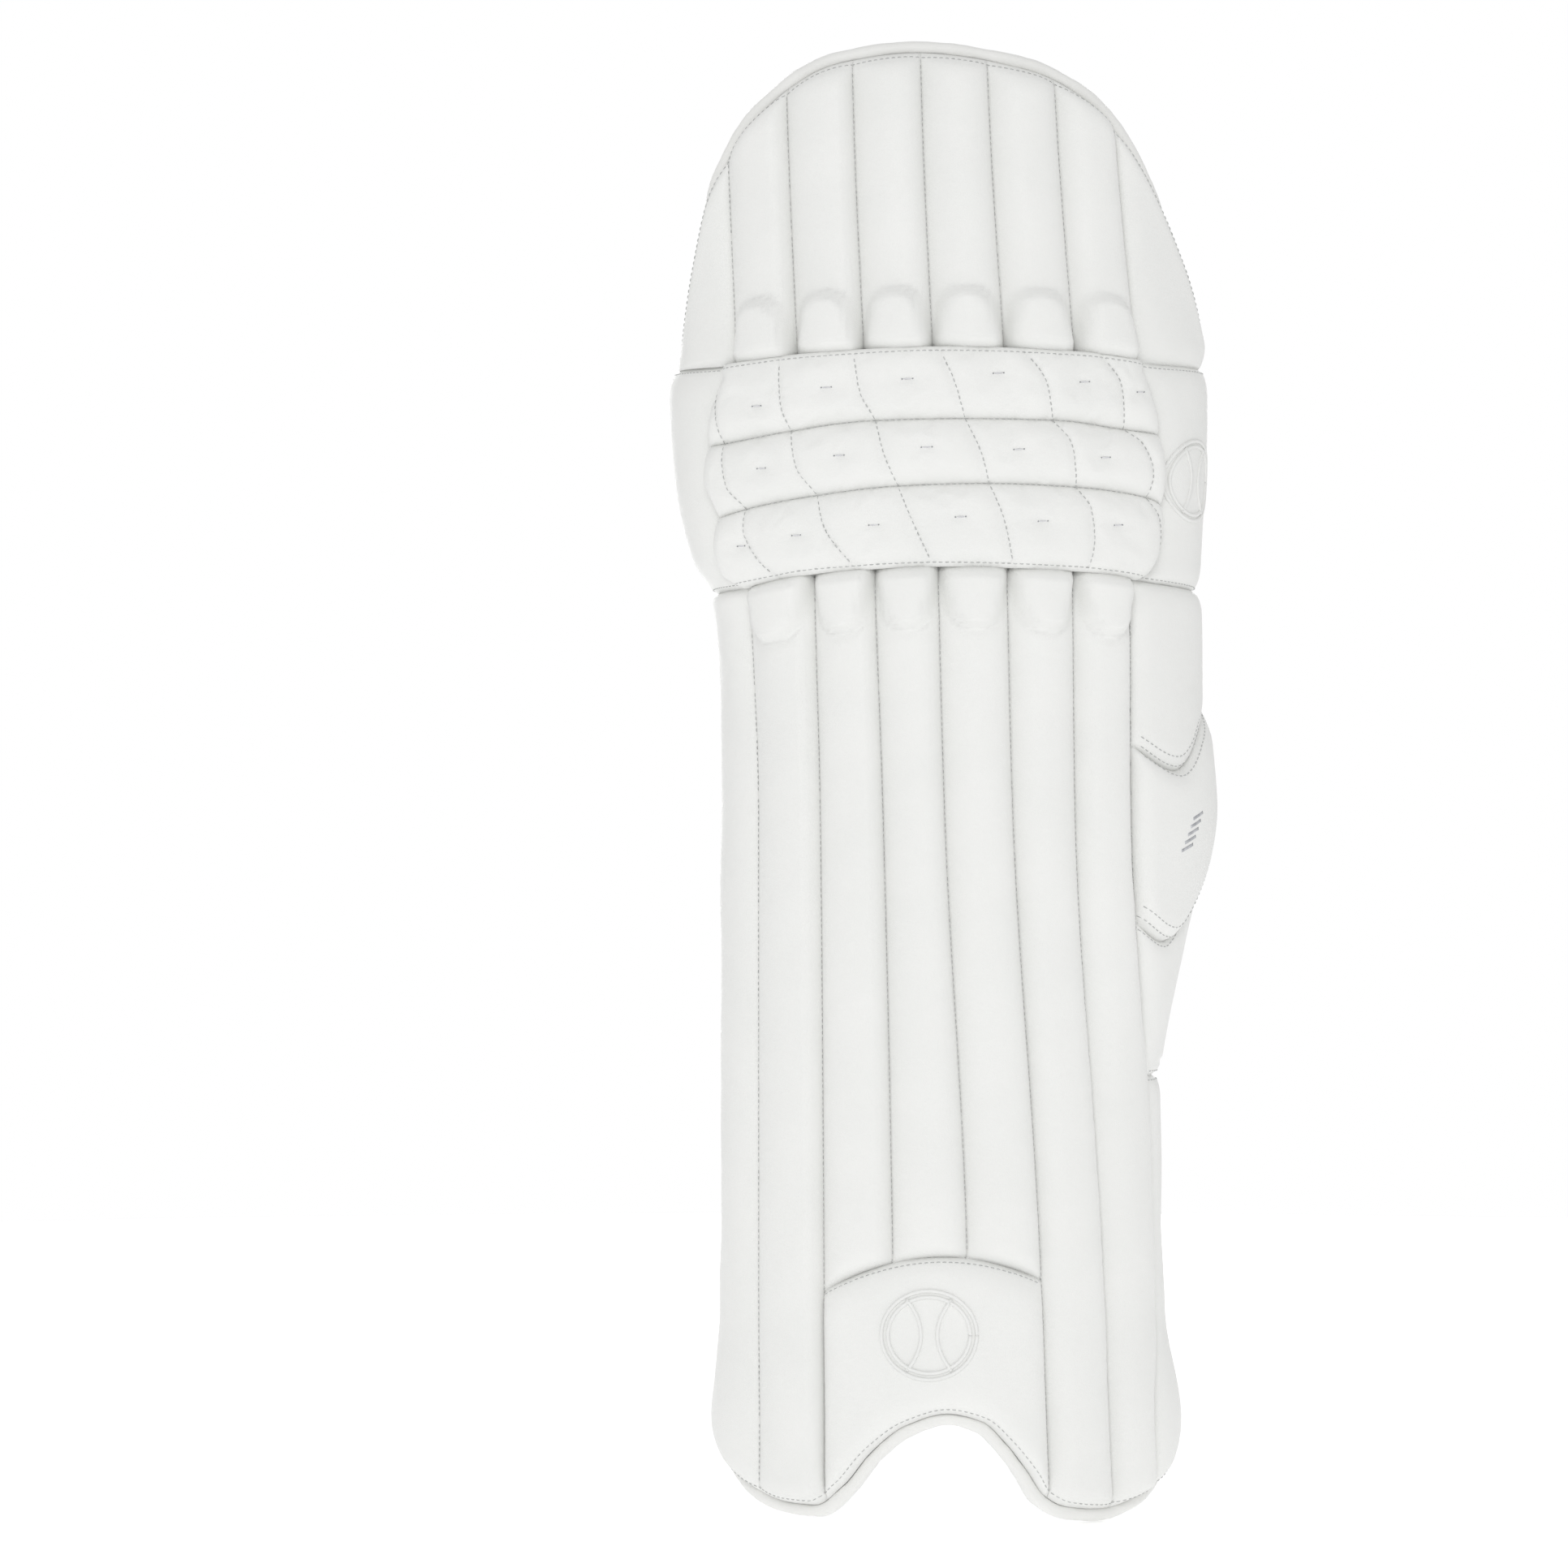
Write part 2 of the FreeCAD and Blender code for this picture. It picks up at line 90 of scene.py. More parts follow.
# ---- driving dimensions, as in the frame ----
EDGE_SHIN, EDGE_KNEE, EDGE_HAT = 116.0, 111.0, 88.0     # how far each section wraps round the leg
BACK = 9.6                 # from the board's front face to the lining's inner face
VALLEY = 4.6               # the leather's height at a seam between two ribs
CROWN = 9.4                # how far a rib stands above its seams
BOSS, BOSS_LENGTH = 6.2, 32.0            # the swollen caps of the ribs against the knee roll
BOSS_WIDE, BOSS_INSET, BOSS_SPREAD = 38.0, 3.4, 24.0
BINDING_ROOM = 7.0         # from an outline in to the leather beside its binding
GATHER_LOW, GATHER_HIGH = 118.0, 482.0   # the puckered strips inside the shin's side edges
WING_END = 232.0
PANEL_FOOT, PANEL_TOP = 128.0, 490.0
PUFF = 3.0                 # the air pressure behind cloth in the simulations

# (height, value) knots of the form, then (angle, height) knots of its two outlines
HALF_WIDTH_IN = [(0, 106), (50, 112), (110, 107.5), (230, 107), (420, 107), (468, 109.5), (490, 113.5), (506, 122),
                 (545, 131), (590, 134), (620, 133), (700, 130), (775, 128)]
HALF_WIDTH_OUT = [(0, 113), (50, 117), (110, 108), (225, 106), (300, 119), (375, 133), (425, 129), (480, 128),
                  (545, 131), (590, 132), (620, 133), (775, 132)]
DEPTH = [(0, 66), (110, 70), (480, 72), (560, 76), (620, 76), (775, 62)]
FRONT_Y = [(0, -84), (60, -81), (150, -79), (430, -79), (500, -83), (560, -87), (620, -85), (700, -79), (775, -69)]
CENTRE_X = [(0, 0), (612, 0), (700, -6), (775, -10)]
HAT_EDGE = [(-90, 618), (-81, 628), (-69, 666), (-58, 709), (-43, 743), (-20, 770), (-2, 775), (23, 767), (40, 750),
            (53, 722), (69, 671), (78, 641), (90, 620)]
FOOT_EDGE = [(-118, 95), (-105, 60), (-90, 34), (-62, 8.5), (-46, 3), (-38, 2.6), (-28, 13.7), (-19, 32), (-10, 45),
             (1, 51.3), (10, 47), (16, 36), (22, 21.4), (27, 8.5), (34, 2), (46, 0), (61, 4.3), (75, 12.8),
             (90, 30), (105, 60), (118, 95)]
# (height, x) knots of the seams between ribs, seen from the front
SHIN_SEAMS = [
    [(0, -92.5), (140, -92.7), (372, -92.7), (487, -97)],
    [(0, -59.6), (140, -60.2), (372, -62), (487, -65)],
    [(0, -24), (140, -25.6), (372, -30.5), (487, -34.6)],
    [(0, 14), (140, 12), (372, 0.6), (487, -2.6)],
    [(0, 54.5), (140, 49.1), (372, 35.5), (487, 32.5)],
    [(0, 86.7), (140, 80.5), (372, 67.5), (487, 66)],
    [(0, 107), (140, 104), (200, 102.5), (372, 96), (487, 95)],
]
HAT_SEAMS = [
    [(612, -105), (715, -109.5), (775, -112)],
    [(612, -74.3), (715, -79), (775, -81)],
    [(612, -40.6), (715, -45.3), (775, -47)],
    [(612, -5.6), (715, -10.3), (775, -12)],
    [(612, 30.8), (715, 24.4), (775, 22)],
    [(612, 66.6), (715, 59), (775, 56)],
    [(612, 97.8), (715, 88.4), (775, 85)],
]
# (angle, height) knots of the chevron seams across the wing
CHEVRON_UPPER = [(40, 415), (63, 393), (80, 412), (116, 446)]
CHEVRON_LOWER = [(40, 330), (68, 303), (86, 330), (116, 366)]
# the seams under and over the knee roll, and the lower and upper edges of the cloth flaps behind it
KNEE_LOW = [(-111, 486), (-60, 489), (-30, 496), (0, 499), (30, 497), (58, 491), (111, 486)]
KNEE_HIGH = [(-111, 606), (-60, 605), (-30, 610), (0, 613), (30, 611), (58, 606), (111, 606)]
FLAP_LOW = [(-90, 493), (-60, 494), (-32, 486), (-18, 489), (0, 502), (12, 503), (90, 488)]
FLAP_HIGH = [(-90, 603), (-60, 606), (-28, 622), (0, 624), (22, 624), (60, 610), (90, 603)]

FACES = {}                 # finished front pieces, by body
REAR = {}                  # finished leg-side pieces, by name
QUILTS = {}                # each bolster's patch and its quilting tracks
TUFTS = []                 # (angle, height) of the knee roll's sewn-down points


# ---- curves and the form ----
def along(knots, t):
    """The smooth curve through (t, value) knots, without overshoot (monotone cubic), held flat past its ends."""
    x, y = np.array(knots, float).T
    t = np.clip(np.asarray(t, float), x[0], x[-1])
    h, d = np.diff(x), np.diff(y) / np.diff(x)
    m = np.concatenate([d[:1], np.zeros(len(d) - 1), d[-1:]])
    turns = d[:-1] * d[1:] > 0
    d0, d1, h0, h1 = d[:-1][turns], d[1:][turns], h[:-1][turns], h[1:][turns]
    m[1:-1][turns] = (h0 + h1) * 3 / ((2 * h1 + h0) / d0 + (h1 + 2 * h0) / d1)
    i = np.clip(np.searchsorted(x, t, side="right") - 1, 0, len(h) - 1)
    s = (t - x[i]) / h[i]
    return (y[i] * (1 + 2 * s) * (1 - s) ** 2 + m[i] * h[i] * s * (1 - s) ** 2
            + y[i + 1] * s * s * (3 - 2 * s) - m[i + 1] * h[i] * s * s * (1 - s))


def half_width(phi, z):
    return np.where(np.asarray(phi) < 0, along(HALF_WIDTH_IN, z), along(HALF_WIDTH_OUT, z))


def form(phi, z, n):
    """Points at angle phi, height z and distance n out of the board's front face."""
    phi, z, n = np.broadcast_arrays(np.asarray(phi, float), np.asarray(z, float), np.asarray(n, float))
    w, d, p = half_width(phi, z), along(DEPTH, z), np.radians(phi)
    nx, ny = d * np.sin(p), -w * np.cos(p)
    size = np.hypot(nx, ny)
    return np.stack([along(CENTRE_X, z) + w * np.sin(p) + n * nx / size,
                     along(FRONT_Y, z) + d * (1 - np.cos(p)) + n * ny / size, z], -1)


def angle_at(x, z):
    """The angle whose front-view place at height z is x."""
    off = x - along(CENTRE_X, z)
    return np.degrees(np.arcsin(np.clip(off / half_width(off, z), -1, 1)))


def seam(knots):
    return lambda z: angle_at(along(knots, z), z)


def rim_of(knots, shift=0.0):
    return lambda phi: along(knots, phi) + shift


def smooth(t):
    t = np.clip(t, 0, 1)
    return t * t * (3 - 2 * t)


def unit(vectors):
    return vectors / np.maximum(np.linalg.norm(vectors, axis=-1, keepdims=True), 1e-9)


def tangents(points):
    return unit(np.gradient(points, axis=0))


def waves(x, y, size, seed, count=9):
    """A smooth irregular field between about -1 and 1, with features of about that size."""
    rng = np.random.default_rng(seed)
    total = np.zeros(np.broadcast(x, y).shape)
    for _ in range(count):
        turn, phase = rng.uniform(0, 2 * math.pi, 2)
        k = 2 * math.pi / (size * rng.uniform(1.3, 3.0))
        total = total + np.sin(k * (x * math.cos(turn) + y * math.sin(turn)) + phase)
    return total / math.sqrt(count)


# ---- meshes ----
def mesh_object(name, points, quads, material, uv=None, triangles=()):
    """An object from points in millimetres; the UV map "cut" holds places on the flat cloth, in metres."""
    points = np.asarray(points, float).reshape(-1, 3) * MM
    mesh = bpy.data.meshes.new(name)
    quads = np.asarray(quads, np.int32).reshape(-1, 4)
    triangles = np.asarray(triangles, np.int32).reshape(-1, 3)
    loops = np.concatenate([quads.ravel(), triangles.ravel()])
    sizes = np.concatenate([np.full(len(quads), 4), np.full(len(triangles), 3)])
    mesh.vertices.add(len(points))
    mesh.vertices.foreach_set("co", points.astype(np.float32).ravel())
    mesh.loops.add(len(loops))
    mesh.loops.foreach_set("vertex_index", loops.astype(np.int32))
    mesh.polygons.add(len(sizes))
    mesh.polygons.foreach_set("loop_start", np.concatenate([[0], np.cumsum(sizes)[:-1]]).astype(np.int32))
    mesh.polygons.foreach_set("use_smooth", np.ones(len(sizes), bool))
    if uv is not None:
        layer = mesh.uv_layers.new(name="cut")
        layer.data.foreach_set("uv", (np.asarray(uv, float).reshape(-1, 2) * MM)[loops].astype(np.float32).ravel())
    mesh.update(calc_edges=True)
    mesh.validate()
    mesh.materials.append(material)
    obj = bpy.data.objects.new(name, mesh)
    bpy.context.scene.collection.objects.link(obj)
    return obj


def grid_quads(rows, cols, start=0, flip=False):
    i = np.arange(rows * cols).reshape(rows, cols) + start
    q = np.stack([i[:-1, :-1], i[:-1, 1:], i[1:, 1:], i[1:, :-1]], -1).reshape(-1, 4)
    return q[:, ::-1] if flip else q


def closed(name, outer, inner, material, uv=None):
    """A closed piece between two grids of points. outer faces away from inner."""
    rows, cols = outer.shape[:2]
    count = rows * cols
    i = np.arange(count).reshape(rows, cols)
    ring = np.concatenate([i[0, :-1], i[:-1, -1], i[-1, :0:-1], i[:0:-1, 0]])
    after = np.roll(ring, -1)
    side = np.stack([ring, ring + count, after + count, after], -1)
    quads = np.concatenate([grid_quads(rows, cols), grid_quads(rows, cols, count, True), side])
    points = np.concatenate([outer.reshape(-1, 3), inner.reshape(-1, 3)])
    uv = None if uv is None else np.concatenate([uv.reshape(-1, 2)] * 2)
    return mesh_object(name, points, quads, material, uv)


def as_call(value):
    return value if callable(value) else (lambda t: np.full_like(np.asarray(t, float), value))


class Patch:
    """A patch of the form as grids: angle phi, height z, and distances to its four sides in millimetres."""

    def __init__(self, left, right, low, high, step=2.4, dense=0.55):
        left, right, low, high = map(as_call, (left, right, low, high))
        zm = (low(0.0) + high(0.0)) / 2
        pm = (left(zm) + right(zm)) / 2
        wide = np.linalg.norm(np.diff(form(np.linspace(left(zm), right(zm), 30), zm, 0), axis=0), axis=1).sum()
        tall = float(high(pm) - low(pm))
        cols, rows = max(9, int(wide / step)), max(7, int(tall / step))
        s, t = np.linspace(0, 1, cols)[None, :], np.linspace(0, 1, rows)[:, None]
        a = s - dense * np.sin(2 * math.pi * s) / (2 * math.pi)
        b = t + 0 * a
        a = a + 0 * t
        z = low(0.0) * (1 - b) + high(0.0) * b
        for _ in range(14):
            phi = left(z) * (1 - a) + right(z) * a
            z = low(phi) * (1 - b) + high(phi) * b
        base = form(phi, z, 0)
        self.phi, self.z, self.a, self.b = phi, z, a, b
        self.u = np.concatenate([np.zeros((rows, 1)),
                                 np.cumsum(np.linalg.norm(np.diff(base, axis=1), axis=2), axis=1)], 1)
        self.v = np.concatenate([np.zeros((1, cols)),
                                 np.cumsum(np.linalg.norm(np.diff(base, axis=0), axis=2), axis=0)], 0)
        self.wide, self.tall = self.u[:, -1:], self.v[-1:, :]
        self.side = np.minimum(self.u, self.wide - self.u)
        self.x = base[..., 0]

    def at(self, n):
        return form(self.phi, self.z, n)

    def uv(self):
        return np.stack([self.u, self.z], -1)


def fall(distance, radius, power=2.3):
    """0 at a sewn edge, rising like a round shoulder to 1 at radius."""
    t = np.clip(distance / radius, 0, 1)
    return (1 - (1 - t) ** power) ** (1 / 1.75)


def settle(points, pinned, puff, frames=12, cap=3.0, grow=0.02, bend=0.4, flip=False):
    """A grid of points after a short cloth simulation with air behind it and its pinned points held. cap is the
    farthest that a point moves, in millimetres, and grow the share by which the cloth is cut larger."""
    rows, cols = points.shape[:2]
    obj = mesh_object("settling", points, grid_quads(rows, cols, 0, flip), WHITE_LEATHER)
    group = obj.vertex_groups.new(name="pinned")
    group.add([int(k) for k in np.flatnonzero(pinned.ravel())], 1.0, "REPLACE")
    cloth = obj.modifiers.new("cloth", "CLOTH")
    s = cloth.settings
    s.quality, s.mass, s.time_scale = 6, 0.2, 1.0
    s.tension_stiffness = s.compression_stiffness = 20
    s.shear_stiffness, s.bending_stiffness = 8, bend
    s.vertex_group_mass = "pinned"
    s.use_pressure, s.uniform_pressure_force = True, puff
    s.effector_weights.gravity = 0
    s.shrink_min = s.shrink_max = -grow
    cloth.collision_settings.use_collision = False
    cloth.collision_settings.use_self_collision = False
    cloth.point_cache.frame_start, cloth.point_cache.frame_end = 1, frames
    scene = bpy.context.scene
    for number in range(1, frames + 1):
        scene.frame_set(number)
    done = obj.evaluated_get(bpy.context.evaluated_depsgraph_get())
    after = np.empty(rows * cols * 3, np.float32)
    done.data.vertices.foreach_get("co", after)
    move = after.reshape(rows, cols, 3).astype(float) / MM - points
    far = np.linalg.norm(move, axis=-1, keepdims=True)
    scene.frame_set(1)
    bpy.data.objects.remove(obj, do_unlink=True)
    return points + move * (cap * np.tanh(far / cap) / np.maximum(far, 1e-9))


# ---- materials ----
class Nodes:
    """A material's node tree with short calls for adding and linking nodes."""

    def __init__(self, name, roughness=0.5, **sockets):
        self.material = bpy.data.materials.new(name)
        self.material.use_nodes = True
        self.tree = self.material.node_tree
        self.shader = self.tree.nodes["Principled BSDF"]
        self.shader.inputs["Roughness"].default_value = roughness
        for socket, value in sockets.items():
            self.shader.inputs[socket.replace("_", " ")].default_value = value

    def add(self, kind, inputs=(), **settings):
        node = self.tree.nodes.new("ShaderNode" + kind)
        for key, value in settings.items():
            setattr(node, key, value)
        for socket, value in dict(inputs).items():
            if isinstance(value, bpy.types.NodeSocket):
                self.tree.links.new(value, node.inputs[socket])
            else:
                node.inputs[socket].default_value = value
        return node

    def link(self, output, socket):
        self.tree.links.new(output, self.shader.inputs[socket])

    def place(self):
        return self.add("TexCoord").outputs["Object"]

    def cut(self):
        return self.add("UVMap", uv_map="cut").outputs["UV"]

    def noise(self, size_mm, detail=3.0, rough=0.55, vector=None):
        return self.add("TexNoise", {"Vector": vector or self.place(), "Scale": 1000.0 / size_mm, "Detail": detail,
                                     "Roughness": rough}).outputs["Fac"]

    def ramp(self, factor, *stops):
        node = self.add("ValToRGB", {"Fac": factor})
        elements = node.color_ramp.elements
        while len(elements) < len(stops):
            elements.new(0.5)
        for element, (position, colour) in zip(elements, stops):
            element.position = position
            element.color = (*colour, 1.0) if isinstance(colour, tuple) else (colour, colour, colour, 1.0)
        return node.outputs["Color"]

    def span(self, value, low, high, out_low, out_high):
        node = self.add("MapRange", {"Value": value, "From Min": low, "From Max": high, "To Min": out_low,
                                     "To Max": out_high})
        return node.outputs["Result"]

    def math(self, operation, a, b=0.0):
        return self.add("Math", {0: a, 1: b}, operation=operation).outputs[0]

    def bump(self, *layers):
        """Layers of (height, depth in millimetres), laid over each other."""
        normal = None
        for height, depth in layers:
            inputs = {"Height": height, "Distance": depth * MM, "Strength": 1.0}
            if normal is not None:
                inputs["Normal"] = normal
            normal = self.add("Bump", inputs).outputs["Normal"]
        self.link(normal, "Normal")


def leather(name, light, dark, grain=1.1, depth=0.05, rough=(0.36, 0.5), coat=0.0, swell=0.3):
    """Coated leather: pores of a grain size and depth in millimetres over a slow swell."""
    m = Nodes(name, Coat_Weight=coat, Coat_Roughness=0.35, Specular_IOR_Level=0.42)
    m.link(m.ramp(m.noise(38, 4), (0.3, dark), (0.72, light)), "Base Color")
    m.link(m.span(m.noise(9, 5), 0.3, 0.7, *rough), "Roughness")
    pores = m.add("TexVoronoi", {"Vector": m.place(), "Scale": 1000 / grain, "Randomness": 1.0},
                  feature="DISTANCE_TO_EDGE").outputs["Distance"]
    m.bump((m.noise(14, 3), swell), (m.span(pores, 0.0, 0.18, 0.0, 1.0), depth), (m.noise(0.7, 2), depth * 0.6))
    return m.material


def weave(name, light, dark, pitch=0.55, depth=0.05, rough=0.85, sheen=0.35, puckers=0.25):
    """Woven cloth: threads over and under each other along the cloth's own directions."""
    m = Nodes(name, rough, Sheen_Weight=sheen, Sheen_Roughness=0.45, Specular_IOR_Level=0.22)
    xyz = m.add("SeparateXYZ", {0: m.cut()}).outputs
    k = 2 * math.pi / (pitch * MM)
    across, up = m.math("SINE", m.math("MULTIPLY", xyz[0], k)), m.math("SINE", m.math("MULTIPLY", xyz[1], k))
    thread = m.span(m.math("MULTIPLY", across, up), -1, 1, 0, 1)
    m.link(m.ramp(m.noise(24, 5), (0.32, dark), (0.7, light)), "Base Color")
    m.bump((m.noise(8, 4), puckers), (m.noise(1.6, 3), 0.06), (thread, depth))
    return m.material


WHITE_LEATHER = leather("white_leather", (0.90, 0.902, 0.885), (0.875, 0.88, 0.862))
BINDING_LEATHER = leather("binding_leather", (0.885, 0.885, 0.866), (0.86, 0.86, 0.84), 0.8, 0.035, (0.3, 0.42))
PANEL_LEATHER = leather("panel_leather", (0.865, 0.87, 0.885), (0.855, 0.86, 0.876), 0.9, 0.02, (0.29, 0.31),
                        coat=0.3, swell=0.1)
# A copy of the panel leather made darker, as painted shade, to hold down the strongly lit hat back.
HAT_BACK_SHADED_LEATHER = leather("hat_back_shaded_leather", (0.80, 0.81, 0.825), (0.788, 0.80, 0.815), 0.9, 0.025, (0.32, 0.4),
                           coat=0.1, swell=0.12)
ANKLE_LEATHER = leather("ankle_leather", (0.735, 0.737, 0.75), (0.70, 0.702, 0.718), 0.9, 0.06, (0.42, 0.58))
PATCH_LEATHER = leather("patch_leather", (0.745, 0.77, 0.79), (0.73, 0.757, 0.78), 0.7, 0.02, (0.32, 0.42), 0.1)
LINING_CLOTH = weave("lining_cloth", (0.89, 0.89, 0.91), (0.87, 0.87, 0.892))
QUILT_CLOTH = weave("quilt_cloth", (0.935, 0.93, 0.962), (0.915, 0.91, 0.946), 0.5, 0.045, 0.8, 0.5, 0.4)


def thread_material(name, light, dark):
    m = Nodes(name, 0.7, Sheen_Weight=0.3, Specular_IOR_Level=0.3)
    m.link(m.ramp(m.noise(2.5, 3), (0.35, dark), (0.65, light)), "Base Color")
    m.bump((m.noise(0.25, 2), 0.05))
    return m.material


GREY_THREAD = thread_material("grey_thread", (0.60, 0.61, 0.60), (0.46, 0.47, 0.46))
# Dark grey thread that stands in for the painted shade inside the tufts' needle holes.
HOLE_SHADE_THREAD = thread_material("tuft_hole_shade_thread", (0.40, 0.41, 0.42), (0.30, 0.31, 0.32))
WHITE_THREAD = thread_material("white_thread", (0.80, 0.80, 0.82), (0.70, 0.70, 0.73))


def foil_material():
    m = Nodes("silver_foil", Metallic=0.85)
    m.link(m.ramp(m.noise(3.0, 5, 0.7), (0.3, (0.36, 0.37, 0.39)), (0.7, (0.66, 0.67, 0.69))), "Base Color")
    m.link(m.span(m.noise(1.4, 4), 0.3, 0.7, 0.26, 0.5), "Roughness")
    m.bump((m.noise(2.2, 4, 0.7), 0.25))
    return m.material


def ink_material():
    m = Nodes("black_ink", 0.5)
    m.link(m.ramp(m.noise(1.5, 3), (0.35, (0.02, 0.02, 0.022)), (0.65, (0.05, 0.05, 0.055))), "Base Color")
    m.bump((m.noise(0.7, 2), 0.02))
    return m.material


SILVER_FOIL, INK = foil_material(), ink_material()


# ---- the face: ribs, rolls and pads ----
def rib_height(p, crown, boss_end=None, low_round=7.0, high_round=7.0, full_ends=(0.0, 0.0), seed=1):
    """A rib's leather over its foam: rising slowly from its left seam, full until close to its right one. boss_end
    is +1 if its swollen cap against the knee roll is at its top, -1 if at its foot; full_ends are the shares of
    its height that it keeps at its foot and its top."""
    lean = 0.20 + 0.16 * smooth((p.x + 60.0) / 130.0)
    left = np.clip((p.u - 0.5) / (p.wide * (0.84 - lean)), 0, 1)
    right = np.clip((p.wide - p.u - 0.5) / (p.wide * lean), 0, 1)
    across = (1 - (1 - left) ** 2) ** 0.9 * (1 - (1 - right) ** 2.2) ** 0.6
    low, high = (keep + (1 - keep) * fall(reach, radius) for keep, reach, radius in
                 zip(full_ends, (p.v, p.tall - p.v), (low_round, high_round)))
    n = VALLEY + crown * across * low * high
    if boss_end:
        reach, groove = (p.tall - p.v, 1.5) if boss_end > 0 else (p.v, 0.6)
        spread = BOSS_INSET * smooth(1.0 - reach / BOSS_SPREAD)
        wide = np.minimum(p.wide, BOSS_WIDE)
        corner = wide * 0.36
        dx = np.abs(p.wide - p.u - wide / 2) - (wide / 2 - BOSS_INSET - corner + spread)
        dz = reach - (BOSS_LENGTH - corner)
        outside = np.hypot(np.maximum(dx, 0), np.maximum(dz, 0)) + np.minimum(np.maximum(dx, dz), 0) - corner
        n = n + BOSS * smooth(-outside / 5.0 + 0.1) * (0.35 + 0.65 * smooth(reach / 5.0))
        n = n - groove * np.exp(-((outside - 1.0) / 1.9) ** 2) * smooth(reach / 8.0) * across
    pull = np.exp(-p.side / 4.5)
    n = n + 0.30 * waves(p.u * 0.25, p.v, 6.0, seed) * pull * across ** 0.3
    return n + 0.28 * waves(p.u, p.v, 26.0, seed + 50) * across * low * high


def pad_height(p, crown, valley=VALLEY, radius=16.0, seed=1):
    """A soft pad's leather: a round shoulder at every sewn side, and a gently uneven top."""
    cover = fall(p.side, np.minimum(radius, p.wide * 0.5)) * (fall(p.v, radius) * fall(p.tall - p.v, radius))
    n = valley + crown * cover + 0.35 * waves(p.u, p.v, 34.0, seed) * cover
    pull = np.exp(-np.minimum(p.side, np.minimum(p.v, p.tall - p.v)) / 5.0)
    return n + 0.22 * waves(p.u, p.v, 6.0, seed + 9) * pull * cover ** 0.3


def tucked(body, patch, height):
    """A front piece's height, brought down under the binding beside it."""
    edge, outline = {"top_hat": (EDGE_HAT, hat_top), "knee": (EDGE_KNEE, None),
                     "shin": (EDGE_SHIN, foot_bottom)}[body]
    gap = (edge - np.abs(patch.phi)) * np.radians(half_width(patch.phi, patch.z))
    if outline:
        gap = np.minimum(gap, np.abs(patch.z - outline(patch.phi)))
    return height - (height - 1.6) * np.exp(-(gap / 2.2) ** 2)


def front_piece(name, body, patch, outer, nodes, blend_to=None):
    """A closed padded leather piece on the pad's front, in place of its CAD nodes."""
    obj = closed(name, outer, patch.at(0.3), WHITE_LEATHER, patch.uv())
    finish_piece(obj, body, nodes, blend_to)
    FACES.setdefault(body, []).append(obj)


def face_pad(name, body, patch, height, nodes, blend_to=None):
    front_piece(name, body, patch, patch.at(tucked(body, patch, height)), nodes, blend_to)


def finish_piece(obj, body, nodes, blend_to=None):
    """Puts a piece on its body, or if blend_to is given bakes its transform in place instead; blend_to is a second
    body and where a blend into it would start and end, but only whether it is given is used.
    """
    if blend_to:
        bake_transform(obj)
    else:
        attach(obj, body)
    if nodes:
        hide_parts(*nodes)
    return obj


SHIN_TO_KNEE = ("knee", (0, -40, 452), (0, -40, 486))
KNEE_TO_HAT = ("knee", (0, -40, 650), (0, -40, 614))


hat_top, foot_bottom = rim_of(HAT_EDGE, -BINDING_ROOM), rim_of(FOOT_EDGE, BINDING_ROOM)


def instep_top(phi):
    return 140.0 - 12.0 * (np.sin(np.radians(phi)) / 0.45) ** 2


knee_low, knee_high = rim_of(KNEE_LOW), rim_of(KNEE_HIGH)
shin_seams, hat_seams = [seam(s) for s in SHIN_SEAMS], [seam(s) for s in HAT_SEAMS]


def hat_face():
    bounds = [-EDGE_HAT] + hat_seams
    for k in range(7):
        p = Patch(bounds[k], bounds[k + 1], knee_high, hat_top)
        n = rib_height(p, CROWN if k else 5.0, -1 if k else None, 7.0, 15.0, (0.85, 0.0), 100 + k)
        extra = ["hat_face_cover"] if k == 0 else []
        face_pad(f"hat_rib_{k + 1}_leather", "top_hat", p, n, [f"hat_rib_{k + 1}", *extra], KNEE_TO_HAT)
    p = Patch(bounds[7], EDGE_HAT, knee_high, hat_top)
    face_pad("hat_side_pad_leather", "top_hat", p, pad_height(p, 5.0, seed=110), ["hat_side_pad"], KNEE_TO_HAT)


def shin_face():
    bounds = [-EDGE_SHIN] + shin_seams
    for k in range(7):
        low = instep_top if k in (2, 3, 4) else foot_bottom
        p = Patch(bounds[k], bounds[k + 1], low, knee_low)
        n = rib_height(p, CROWN if k else 5.0, 1 if k else None, 12.0, 7.0, (0.0, 0.8 if k else 0.0), 200 + k)
        extra = ["shin_face_cover"] if k == 0 else []
        face_pad(f"shin_rib_{k + 1}_leather", "shin", p, n, [f"shin_rib_{k + 1}", *extra], SHIN_TO_KNEE)
    p = Patch(shin_seams[1], shin_seams[4], foot_bottom, instep_top, 2.0)
    face_pad("instep_block_leather", "shin", p, pad_height(p, 8.5, radius=18.0, seed=210), ["instep_block"])
    start = shin_seams[6]
    upper, lower = rim_of(CHEVRON_UPPER), rim_of(CHEVRON_LOWER)
    for name, low, high, crown, seed, to in (
            ("wing_pad_upper", upper, knee_low, 5.0, 220, SHIN_TO_KNEE),
            ("wing_pad_middle", lower, upper, 8.5, 221, None),
            ("wing_pad_lower", WING_END, lower, 5.0, 222, None),
            ("wing_foot_rib", foot_bottom, WING_END, 5.0, 223, None)):
        p = Patch(start, EDGE_SHIN, low, high)
        n = pad_height(p, crown, VALLEY + 1.6, 13.0, seed)
        if name in ("wing_pad_upper", "wing_pad_lower"):
            n = n - 0.9 * np.exp(-((p.v - 7.5) / 1.5) ** 2) * smooth(p.side / 6.0)
        face_pad(name + "_leather", "shin", p, n, [name], to)


